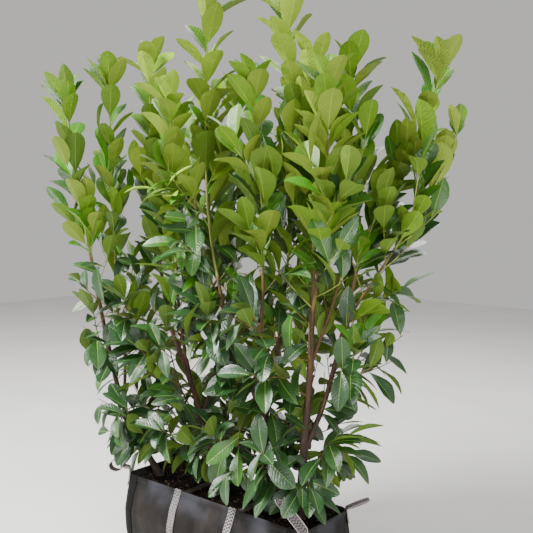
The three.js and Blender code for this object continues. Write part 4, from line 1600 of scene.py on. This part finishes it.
@dataclass(frozen=True)
class BagOutline:
    """The bag's outline at any height, turning left from its front right corner."""

    arc: int = 9
    long_side: int = 54
    short_side: int = 14

    def sizes(self, height: float) -> Array:
        """Half length, half width, corner radius and belly at a height."""
        levels = BAG_LEVELS.T
        return np.array([np.interp(height, levels[0], sizes) for sizes in levels[1:]])

    def ring(self, height: float, inset: float = 0.0) -> tuple[Array, Array]:
        """The outline at a height.

        Args:
            height: the height.
            inset: how far inside the outer face.

        Returns:
            Points on it, and the outward direction at each.
        """
        length, width, corner, belly = self.sizes(height)
        places, outs = [], []
        for side_x, side_y, start in ((1, -1, -90), (1, 1, 0), (-1, 1, 90), (-1, -1, 180)):
            for share in np.linspace(0, 1, self.arc):
                turn = math.radians(start + 90 * share)
                out = np.array([math.cos(turn), math.sin(turn)])
                middle = np.array([side_x * (length - corner), side_y * (width - corner)])
                places.append(middle + out * (corner - inset))
                outs.append(out)
            along_x = side_x == side_y
            count = self.long_side if along_x else self.short_side
            half = (length if along_x else width) - corner
            for share in np.linspace(-1, 1, count + 2)[1:-1]:
                if along_x:
                    off = width - inset + belly * (1 - share ** 4)
                    places.append(np.array([-side_y * half * share, side_y * off]))
                    outs.append(np.array([0.0, float(side_y)]))
                else:
                    places.append(np.array([side_x * (length - inset), side_x * half * share]))
                    outs.append(np.array([float(side_x), 0.0]))
        return np.array(places), np.array(outs)


@dataclass
class PlantingBag:
    """The long soft bag: creased walls, a folded rim and a flat underside."""

    outline: BagOutline = field(default_factory=BagOutline)
    hem: float = 15.0
    hem_lift: float = 1.3
    foot: float = 6.0

    LEVELS = (0, 2, 6, 12, *range(20, 300, 8), *range(300, 326, 6), 325.2, 330, 336, 339.2)
    INNER = ((RIM + 0.6, 2.6), (336, 3.6), (325, 3.4), (COMPOST_TOP - 8, 3.2))

    def build(self) -> None:
        """Makes the bag in place of its solid."""
        # the third colour is the painted bluish reflection under the rim
        finish = BagFinish("bag_cloth", shade(14, 12, 11), shade(47, 38, 32), shade(58, 59, 66))
        bag = piece_of("bag_shell", self.shell(), finish.material())
        hand_over(bag, "bag_cloth", "planting_bag")
        LOG.info("bag: %d faces", len(bag.data.polygons))

    def relief(self, places: Array, height: float) -> Array:
        """How far the cloth stands in or out at points of a ring.

        Args:
            places: the points.
            height: the ring's height.

        Returns:
            Distances outwards.
        """
        around = np.arctan2(places[:, 1] * 2.2, places[:, 0])
        x = places[:, 0]
        low = height / RIM
        folds = (1.5 * np.sin(31 * around + 2.1 * math.sin(height / 61)) * (0.25 + low)
                 + 1.1 * np.sin(57 * around + height / 43)
                 + 1.4 * np.sin(x / 37 + 1.3 * math.sin(height / 33)) * math.sin(height / 29 + 1))
        sag = 1.8 * np.sin(height / 17 + x / 90) * math.exp(-((height - 60) / 46) ** 2)
        strap = sum(np.exp(-((x - at) / 30) ** 2) for at in STRAP_PLACES.values())
        length, width, corner, _ = self.outline.sizes(height)
        bound = (np.clip((np.abs(x) - (length - corner - 44)) / 14, 0, 1)
                 * np.clip((np.abs(places[:, 1]) - (width - 0.85 * corner)) / 10, 0, 1))
        calm = np.clip(1 - strap - bound, 0, 1) * min(1, height / self.foot)
        near_rim = np.clip((RIM - height) / 90, 0.12, 1)
        return (folds + sag - 1.2) * calm * near_rim

    def shell(self) -> Mesh:
        """Lofts the outer wall, the folded rim, the inner wall and the underside."""
        rings = []
        for height in self.LEVELS:
            places, outs = self.outline.ring(height)
            out = self.relief(places, height)[:, None] * outs
            if height > RIM - self.hem:
                out = out + outs * self.hem_lift
            if height < self.foot:
                out = out - outs * (self.foot - height) * 0.5
            rings.append(np.column_stack([places + out, np.full(len(places), height)]))
        over, outs = self.outline.ring(RIM, 0.4)
        rings.append(np.column_stack([over, np.full(len(over), RIM + 0.9)]))
        for height, inset in self.INNER:
            places, _ = self.outline.ring(min(height, RIM), inset)
            rings.append(np.column_stack([places, np.full(len(places), height)]))
        columns = len(rings[0])
        points = np.concatenate([*rings, [[0, 0, 0]]])
        faces = grid_faces(len(rings), columns, closed=True)
        under = len(points) - 1
        faces += [(under, (k + 1) % columns, k) for k in range(columns)]
        faces.append(tuple(range(under - columns, under)))
        return mesh_of(points, faces)


@dataclass
class CornerBindings:
    """Ribbed bindings that cover the bag's four upright corner seams."""

    outline: BagOutline = field(default_factory=BagOutline)
    width: float = 88.0
    start: float = -20.0
    thick: float = 1.5
    rib: float = 8.4
    rib_lift: float = 0.8
    step: float = 1.7

    def build(self) -> None:
        """Makes the four bindings as one piece."""
        mesh = joined([self.binding(side_x, side_y)
                       for side_x in (-1, 1) for side_y in (-1, 1)])
        finish = PlainFinish("binding_cloth", shade(10, 9, 9), 0.6, 300.0, 0.12)
        bindings = piece_of("corner_bindings", mesh, finish.material())
        hand_over(bindings, "bag_cloth", "planting_bag")
        LOG.info("bindings: %d faces", len(mesh.polygons))

    def binding(self, side_x: int, side_y: int) -> Part:
        """Makes one binding.

        Args:
            side_x: the corner's side along X.
            side_y: the corner's side along Y.

        Returns:
            Its points and faces.
        """
        rings = []
        for height in np.arange(4.0, RIM + 1.0, self.step):
            rib = self.rib_lift * math.sin(2 * math.pi * height / self.rib)
            near_end = min(1.0, (RIM + 1.5 - height) / 3, (height - 2) / 3)
            ring = []
            for share, lift in self.section():
                x, y = self.wrapped(height, share * self.width + self.start,
                                    0.6 + (self.thick + rib) * near_end * lift)
                ring.append([side_x * x, side_y * y, height])
            rings.append(ring)
        faces = tube_faces(len(rings), len(rings[0]))
        if side_x * side_y < 0:
            faces = turned_over(faces)
        return np.array(rings).reshape(-1, 3), faces

    def wrapped(self, height: float, far: float, off: float) -> tuple[float, float]:
        """A place round a corner of the bag, for the corner on the positive sides.

        Args:
            height: its height.
            far: how far it lies from the corner's middle, towards the long face.
            off: how far it stands off the cloth.

        Returns:
            Its x and y.
        """
        length, width, corner, belly = self.outline.sizes(height)
        eighth = math.radians(45)
        turn = eighth + min(far / corner, eighth)
        past = max(0.0, far - corner * eighth)
        straight = length - corner
        bulge = belly * (1 - ((straight - past) / straight) ** 4) * min(1.0, past)
        return (straight - past + (corner + off) * math.cos(turn),
                width - corner + bulge + (corner + off) * math.sin(turn))

    @staticmethod
    def section() -> list[tuple[float, float]]:
        """Shares across with the share of the thickness there, outside and then inside."""
        outside = [(share, 1.0 if 0.03 < share < 0.97 else 0.35)
                   for share in np.linspace(0, 1, 15)]
        inside = [(share, -0.5) for share in np.linspace(1, 0, 9)]
        return outside + inside


def square(along: int, across: int) -> list[Array]:
    """Places from -1 to 1 both ways, in rows along and columns across."""
    return np.meshgrid(np.linspace(-1, 1, along), np.linspace(-1, 1, across), indexing="ij")


def joined(parts: list[Part]) -> Mesh:
    """Joins points and faces of several parts in one mesh.

    Args:
        parts: points and faces of each.

    Returns:
        The mesh.
    """
    faces, start = [], 0
    for points, own in parts:
        faces += [tuple(start + k for k in face) for face in own]
        start += len(points)
    return mesh_of(np.concatenate([points for points, _ in parts]), faces)


@dataclass
class Webbing:
    """Flat woven webbing swept along a line of points, with its face turned outwards."""

    width: float = WEB_WIDTH
    thick: float = WEB_THICK
    columns: int = 7

    WEAVE = "webbing"
    SHARP = math.radians(50)

    def section(self) -> tuple[Array, Array]:
        """Places across the webbing and heights over its middle, once round it."""
        across = np.linspace(-1, 1, self.columns)
        half = np.where(np.abs(across) > 0.95, 0.3, 0.5)
        cup = 0.12 * across ** 2
        heights = np.concatenate([half + cup, (cup - half)[::-1]])
        return np.concatenate([across, across[::-1]]), heights

    def sweep(self, line: Array, across: Array, faces_out: Array) -> tuple[Array, Faces, Array]:
        """Sweeps the webbing.

        Args:
            line: points of its middle.
            across: unit vectors across it, at each point.
            faces_out: unit vectors off its outer face, at each point.

        Returns:
            Its points, faces and places on the weave.
        """
        places, heights = self.section()
        half = self.width / 2
        points = (line[:, None] + across[:, None] * (places * half)[None, :, None]
                  + faces_out[:, None] * (heights * self.thick)[None, :, None]).reshape(-1, 3)
        run = Line(line).run_to * MM
        uv = np.stack(np.broadcast_arrays(places[None, :] / 2 + 0.5, run[:, None]), axis=-1)
        return points, tube_faces(len(line), len(places)), uv.reshape(-1, 2)

    def piece(self, name: str, line: Array, across: Array, finish: WebbingFinish,
              outwards: float = 1.0) -> Object:
        """Makes a piece of webbing.

        Args:
            name: its name.
            line: points of its middle.
            across: the way across it, at each point.
            finish: its finish.
            outwards: 1 or -1, the side of the line that its outer face lies on.

        Returns:
            The piece.
        """
        run = np.gradient(line, axis=0)
        run /= np.linalg.norm(run, axis=1)[:, None]
        across = across - run * (across * run).sum(axis=1)[:, None]
        across /= np.linalg.norm(across, axis=1)[:, None]
        out = np.cross(run, across) * outwards
        points, faces, uv = self.sweep(line, across, out)
        mesh = mesh_of(points, turned_over(faces) if outwards > 0 else faces)
        set_uv(mesh, self.WEAVE, uv)
        mesh.set_sharp_from_angle(angle=self.SHARP)
        return piece_of(name, mesh, finish.material())


@dataclass
class GirthStraps:
    """Two girth straps: up the front, over the rim, across the compost and down the back."""

    outline: BagOutline = field(default_factory=BagOutline)
    webbing: Webbing = field(default_factory=Webbing)
    lie: float = 2.4
    step: float = 3.5

    LEVELS = (3, 14, 36, 70, 110, 150, 190, 228, 265, 288, 310, 326, 337)

    def build(self) -> None:
        """Makes both straps in place of their solids."""
        for number, (name, place) in enumerate(STRAP_PLACES.items()):
            finish = WebbingFinish(f"{name}_webbing", shade(160, 154, 154), shade(24, 21, 21),
                                   shade(104, 98, 98), shade(40, 29, 22), soiled=1.0)
            line = self.line(place, number)
            across = np.tile([1.0, 0.0, 0.0], (len(line), 1))
            strap = self.webbing.piece(name + "_webbing", line, across, finish)
            hand_over(strap, "girth_webbing", name)
        LOG.info("girth straps: %d", len(STRAP_PLACES))

    def line(self, place: float, number: int) -> Array:
        """Points of a strap's middle.

        Args:
            place: where it lies along the bag.
            number: its number, which shifts its waves.

        Returns:
            The points, from the foot of the front to the foot of the back.
        """
        climb = []
        for height in self.LEVELS:
            length, width, corner, belly = self.outline.sizes(height)
            bulge = belly * (1 - (place / (length - corner)) ** 4)
            climb.append((-(width + bulge + self.lie + 0.5), height))
        rim = climb[-1][0]
        over = [(rim + 2.0, RIM + 3.6), (rim + 7.0, RIM + 3.2), (rim + 11.5, RIM - 5),
                (rim + 18, RIM - 16), (rim + 34, COMPOST_TOP + 9), (rim + 62, COMPOST_TOP + 7.5),
                (rim + 104, COMPOST_TOP + 9)]
        front = climb + over
        corners = [(0, y, z) for y, z in front] + [(0, -y, z) for y, z in reversed(front)]
        line = Line.through(corners)
        points = line.even(int(line.length / self.step))
        slack = np.interp(np.abs(points[:, 1]), [0, 110, 150], [1, 1, 0])
        points[:, 0] = place + 1.2 * np.sin(points[:, 1] / 33 + 2 * number) * slack
        points[:, 2] += 1.0 * np.sin(points[:, 1] / 21 + number) * slack
        return points


@dataclass(frozen=True)
class LoopShape:
    """A lifting loop: its length, its eye's opening and roundness, tilt, lean, lift and yaw."""

    name: str
    side: tuple[int, int]
    length: float
    eye: float
    tilt: float
    lean: float = 0.0
    lift: float = 0.0
    yaw: float = 0.0
    roundness: float = 1.0

    @property
    def out(self) -> Array:
        """The way off the bag's corner."""
        return unit(np.array([*self.side, 0.0]))

    @property
    def aside(self) -> Array:
        """The way along the cloth of the corner."""
        return np.array([-self.out[1], self.out[0], 0.0])


@dataclass
class LiftingLoops:
    """Doubled webbing at each corner: a sewn tab with an eye above the rim."""

    outline: BagOutline = field(default_factory=BagOutline)
    webbing: Webbing = field(default_factory=Webbing)
    tab: float = 52.0
    head: float = 8.0
    off: float = 4.6
    stitch: float = 4.2
    spare: float = 6.0

    EYE_POINTS = 64
    TAB_POINTS = 16
    LINE_STEPS = 110
    SHAPES = (
        LoopShape("loop_front_left", (-1, -1), 90, 44, 12, lift=20, yaw=16, roundness=0.66),
        LoopShape("loop_front_right", (1, -1), 122, 3, 88, lean=-0.72),
        LoopShape("loop_back_right", (1, 1), 98, 3, 20),
        LoopShape("loop_back_left", (-1, 1), 100, 3, 52, lean=0.2),
    )

    def build(self) -> None:
        """Makes the four loops and their sewing in place of their solids."""
        finish = WebbingFinish("loop_webbing", shade(114, 104, 106), shade(52, 45, 47),
                               shade(196, 188, 184), shade(60, 48, 40))
        thread = PlainFinish("loop_thread", shade(58, 54, 54), 0.8, 300.0).material()
        for shape in self.SHAPES:
            line, across = self.line(shape)
            loop = self.webbing.piece(shape.name + "_webbing", line, across, finish,
                                      outwards=-1.0)
            sewing = piece_of(shape.name + "_sewing", self.sewing(shape), thread)
            for piece in (loop, sewing):
                hand_over(piece, "loop_webbing", shape.name)
        LOG.info("loops: %d", len(self.SHAPES))

    def corner(self, shape: LoopShape, height: float) -> Array:
        """The outermost point of a loop's corner at a height up to the rim."""
        length, width, corner, _ = self.outline.sizes(min(height, RIM))
        reach = corner / math.sqrt(2)
        return np.array([shape.side[0] * (length - corner + reach),
                         shape.side[1] * (width - corner + reach), height])

    def line(self, shape: LoopShape) -> tuple[Array, Array]:
        """Points of a loop's middle line.

        Args:
            shape: the loop.

        Returns:
            The points, up the outside of the tab, round the eye and down again, and the way
            across the webbing at each.
        """
        thick = self.webbing.thick
        out, side = shape.out, shape.aside
        head = RIM + self.head + shape.lift
        tilt = math.radians(shape.tilt)
        half_long = shape.length / 2 - thick / 2
        half_high = max(shape.eye / 2 + thick / 2, thick * 0.6)
        middle = (self.off + half_long * math.cos(tilt), head - 3 + half_long * math.sin(tilt))
        eye = []
        for turn in np.linspace(math.pi * 1.08, math.pi * 2.92, self.EYE_POINTS):
            along = half_long * math.cos(turn)
            opening = 1 - ((math.cos(turn) - 1 + shape.roundness) / shape.roundness) ** 2
            high = math.copysign(half_high * math.sqrt(max(opening, 0.012)), math.sin(turn))
            eye.append((middle[0] + along * math.cos(tilt) - high * math.sin(tilt),
                        middle[1] + along * math.sin(tilt) + high * math.cos(tilt)))
        levels = np.linspace(RIM - self.tab, head - self.spare, self.TAB_POINTS)
        rim = self.corner(shape, RIM)
        drift = [float((self.corner(shape, z) - rim) @ out) if z < RIM else 0.0 for z in levels]
        outer = [(self.off + thick / 2 + d, z) for d, z in zip(drift, levels)]
        inner = [(self.off - thick / 2 + d, z) for d, z in zip(drift, levels)]
        flat = outer + eye + inner[::-1]
        line = Line.through([(u, 0, z) for u, z in flat]).even(self.LINE_STEPS)
        above = np.maximum(0, line[:, 2] - RIM - self.spare)
        lean = above * shape.lean * shape.side[0] * shape.side[1]
        points = np.array([rim[0], rim[1], 0.0]) + line[:, :1] * out - lean[:, None] * side
        points[:, 2] = line[:, 2]
        yaw = math.radians(shape.yaw) * np.clip((line[:, :1] - self.off) / 20, 0, 1)
        return points, side * np.cos(yaw) + out * np.sin(yaw)

    def sewing(self, shape: LoopShape) -> Mesh:
        """Sews a box with a cross on a loop's tab.

        Args:
            shape: the loop.

        Returns:
            The stitches.
        """
        wide, low, high = 14.0, RIM - self.tab + 7, RIM - 12
        corners = [(-wide, low), (wide, low), (wide, high), (-wide, high), (-wide, low),
                   (wide, high)]
        runs = list(zip(corners, corners[1:])) + [((-wide, high), (wide, low))]
        off = shape.out * (self.off + self.webbing.thick * 1.12)
        parts = []
        for (a0, z0), (a1, z1) in runs:
            length = math.hypot(a1 - a0, z1 - z0)
            for k in range(int(length / self.stitch)):
                ends = []
                for step in (k + 0.15, k + 0.85):
                    share = step * self.stitch / length
                    across, height = a0 + (a1 - a0) * share, z0 + (z1 - z0) * share
                    ends.append(self.corner(shape, height) + shape.aside * across + off)
                parts.append(stitch(*ends, shape.out))
        return joined(parts)


def stitch(start: Array, end: Array, out: Array) -> Part:
    """Makes one stitch: a short thread that dips at both ends.

    Args:
        start: where it starts.
        end: where it ends.
        out: the way off the cloth.

    Returns:
        Its points and faces.
    """
    run = unit(end - start)
    across = np.cross(out, run) * 0.55
    rise = out * 0.7
    rings = []
    for share, lift in ((0.0, -0.9), (0.25, 0.0), (0.75, 0.0), (1.0, -0.9)):
        place = start + (end - start) * share + out * lift
        rings.append([place + across, place + rise, place - across, place - rise])
    return np.array(rings).reshape(-1, 3), tube_faces(len(rings), len(rings[0]))


@dataclass
class Compost:
    """Dark compost that fills the bag, heaped at the stems, with crumbs and bark chips on it."""

    outline: BagOutline = field(default_factory=BagOutline)
    along: int = 210
    across: int = 66
    wall: float = 4.6
    margin: float = 8.0
    crumbs: int = 2400
    chips: int = 330

    SEED = 71
    LAYERS = ((90.0, 1.6), (37.0, 1.2), (17.0, 0.9), (9.0, 0.6))
    WAVES = 5
    STREWN_HALF = (478.0, 134.0)
    STREWN_CELLS = (90, 24)

    def build(self) -> None:
        """Makes the compost and what lies on it in place of its solid."""
        finish = CompostFinish("compost_mix", shade(11, 8, 6), shade(34, 24, 17),
                               shade(110, 90, 70))
        ground = piece_of("compost_bed", self.bed(), finish.material())
        crumb = PlainFinish("compost_crumbs", shade(28, 19, 14), 0.95, 120.0, 0.1).material()
        chip = PlainFinish("compost_chips", shade(112, 92, 74), 0.9, 160.0).material()
        pieces = [ground, self.scatter("compost_crumbs", self.crumbs, 11, (2.4, 7.0), crumb),
                  self.scatter("compost_chips", self.chips, 29, (2.6, 8.0), chip)]
        for piece in pieces:
            hand_over(piece, "compost", "compost")
        LOG.info("compost: %d faces", sum(len(piece.data.polygons) for piece in pieces))

    def height(self, x: Array, y: Array) -> Array:
        """Height of the bed at places.

        Args:
            x: places along the bag.
            y: places across it.

        Returns:
            The heights, in millimetres.
        """
        random = np.random.default_rng(self.SEED)
        rough = np.zeros_like(x)
        for scale, size in self.LAYERS:
            for _ in range(self.WAVES):
                turn, phase = random.uniform(0, 6.28, 2)
                far = x * math.cos(turn) + y * math.sin(turn)
                rough += size / 2.2 * np.sin(far / scale * 6.28 + phase)
        heap = np.zeros_like(x)
        for limb in LIMBS:
            if limb.start:
                away = np.hypot(x - limb.start[0], y - limb.start[1])
                heap += 9 * np.exp(-(away / 60) ** 2)
        under = sum(np.exp(-((x - at) / 24) ** 4) for at in STRAP_PLACES.values())
        return COMPOST_TOP + 2 + np.maximum((rough + heap + 2) * (1 - 0.85 * under), -1.5)

    def bed(self) -> Mesh:
        """Makes the bed: a rough top that meets the bag, closed underneath."""
        length, width, corner, belly = self.outline.sizes(COMPOST_TOP)
        length, width, corner = length - self.wall, width - self.wall, corner - self.wall
        u, v = square(self.along, self.across)
        x = u * length
        past = np.clip((np.abs(x) - (length - corner)) / corner, 0, 1)
        bulge = belly * np.clip(1 - (x / length) ** 4, 0, 1)
        y = v * (width + bulge - corner * (1 - np.sqrt(np.clip(1 - past ** 2, 0.02, 1))))
        z = self.height(x, y)
        edge = np.clip(np.minimum((1 - np.abs(u)) * self.along / self.margin,
                                  (1 - np.abs(v)) * self.across / self.margin), 0, 1)
        z = z * edge + (COMPOST_TOP - 1) * (1 - edge)
        top = np.stack([x, y, z], axis=-1).reshape(-1, 3)
        faces = turned_over(grid_faces(self.along, self.across))
        numbers = np.arange(len(top)).reshape(self.along, self.across)
        rim = np.concatenate([numbers[0], numbers[1:, -1], numbers[-1, -2::-1],
                              numbers[-2:0:-1, 0]]).tolist()
        skirt = top[rim]
        skirt[:, 2] = COMPOST_TOP - 6
        start, count = len(top), len(rim)
        faces += [(rim[k], rim[(k + 1) % count], start + (k + 1) % count, start + k)
                  for k in range(count)]
        faces.append(tuple(range(start, start + count)))
        return mesh_of(np.concatenate([top, skirt]), faces)

    def scatter(self, name: str, count: int, seed: int, sizes: tuple[float, float],
                material: Material) -> Object:
        """Scatters lumps over the bed, away from its edge.

        Args:
            name: the piece's name.
            count: about how many there are.
            seed: the seed of their places.
            sizes: least and greatest size, in millimetres.
            material: their finish.

        Returns:
            The piece.
        """
        half_x, half_y = self.STREWN_HALF
        u, v = square(*self.STREWN_CELLS)
        x, y = u * half_x, v * half_y
        carrier = mesh_of(np.stack([x, y, self.height(x, y)], axis=-1).reshape(-1, 3),
                          turned_over(grid_faces(*self.STREWN_CELLS)))
        area = 2 * half_x * MM * 2 * half_y * MM
        rule = Rule(name + "_rule", {
            "Density": ("NodeSocketFloat", count / area), "Seed": ("NodeSocketInt", seed),
            "Least": ("NodeSocketFloat", sizes[0] * MM),
            "Greatest": ("NodeSocketFloat", sizes[1] * MM)})
        spread = rule.add("GeometryNodeDistributePointsOnFaces", {"distribute_method": "RANDOM"},
                          {"Mesh": rule.input("Geometry"), "Density": rule.input("Density"),
                           "Seed": rule.input("Seed")})
        lump = rule.add("GeometryNodeMeshIcoSphere", None, {"Radius": 1.0, "Subdivisions": 1})
        squash = rule.add("FunctionNodeRandomValue", {"data_type": "FLOAT_VECTOR"},
                          {0: (0.45, 0.3, 0.25), 1: (1.0, 0.7, 0.5), "Seed": seed + 1})
        size = rule.add("FunctionNodeRandomValue", {"data_type": "FLOAT"},
                        {2: rule.input("Least"), 3: rule.input("Greatest"), "Seed": seed + 2}, 1)
        scale = rule.add("ShaderNodeVectorMath", {"operation": "SCALE"},
                         {0: squash, "Scale": size})
        turn = rule.add("FunctionNodeRandomValue", {"data_type": "FLOAT_VECTOR"},
                        {0: (-0.5, -0.5, 0.0), 1: (0.5, 0.5, 6.28), "Seed": seed + 3})
        placed = rule.add("GeometryNodeInstanceOnPoints", None,
                          {"Points": spread, "Instance": lump, "Rotation": turn, "Scale": scale})
        rule.close(placed, material)
        return rule.run(name, carrier)


# Studio


@dataclass
class Studio:
    """Pale floor, soft lights and the camera at the photograph's angle."""

    view: Viewpoint = field(default_factory=Viewpoint)
    half_floor: float = 9000.0
    floor_height: float = -0.5

    LIGHTS = (
        ("key_light", (-2.3, -3.2, 4.9), 2.6, 1040.0),
        ("fill_light", (4.4, -2.6, 2.6), 3.0, 210.0),
        ("back_light", (-1.4, 3.6, 4.6), 3.0, 170.0),
    )
    AIM = (0.0, 0.0, 1.15)
    AIR = (1.0, 0.985, 0.96, 1.0)
    AIR_STRENGTH = 0.56

    def build(self) -> None:
        """Sets the camera, the floor, the lights and the light of the air."""
        self.camera()
        self.floor()
        for light in self.LIGHTS:
            self.light(*light)
        world = bpy.data.worlds.new("studio_air")
        bpy.context.scene.world = world
        world.use_nodes = True
        background = world.node_tree.nodes["Background"]
        background.inputs["Color"].default_value = self.AIR
        background.inputs["Strength"].default_value = self.AIR_STRENGTH

    def camera(self) -> None:
        """Places the camera."""
        lens = bpy.data.cameras.new("photo_camera")
        lens.lens = self.view.lens
        lens.sensor_width = self.view.sensor
        lens.clip_end = 100.0
        camera = bpy.data.objects.new("photo_camera", lens)
        camera.location = self.view.place
        camera.rotation_euler = (math.radians(90 + self.view.pitch), 0.0,
                                 math.radians(self.view.azimuth))
        bpy.context.scene.collection.objects.link(camera)
        bpy.context.scene.camera = camera

    def floor(self) -> None:
        """Lays the floor."""
        corners = np.array([(x * self.half_floor, y * self.half_floor, self.floor_height)
                            for x, y in ((-1, -1), (1, -1), (1, 1), (-1, 1))])
        paint = PlainFinish("floor_paint", (0.72, 0.71, 0.69, 1.0), 0.8, 1.5)
        mesh = mesh_of(corners, [(0, 1, 2, 3)], smooth=False)
        piece_of("floor", mesh, paint.material())

    def light(self, name: str, place: tuple[float, float, float], size: float,
              power: float) -> None:
        """Hangs a soft square light that faces the hedge.

        Args:
            name: its name.
            place: where it hangs.
            size: its side.
            power: its power.
        """
        lamp = bpy.data.lights.new(name, "AREA")
        lamp.shape = "SQUARE"
        lamp.size = size
        lamp.energy = power
        made = bpy.data.objects.new(name, lamp)
        way = np.array(self.AIM) - np.array(place)
        made.location = place
        made.rotation_euler = (math.acos(-way[2] / np.linalg.norm(way)), 0.0,
                               math.atan2(-way[0], way[1]))
        bpy.context.scene.collection.objects.link(made)


def main() -> None:
    """Builds the studio and the hedge; each part logs its counts."""
    logging.basicConfig(level=logging.INFO, format="%(name)s: %(message)s")
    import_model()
    Studio().build()
    skeleton = Skeleton()
    Limbwork(skeleton).build()
    Crown(skeleton).build()
    PlantingBag().build()
    CornerBindings().build()
    Compost().build()
    GirthStraps().build()
    LiftingLoops().build()


if __name__ == "__main__":
    main()
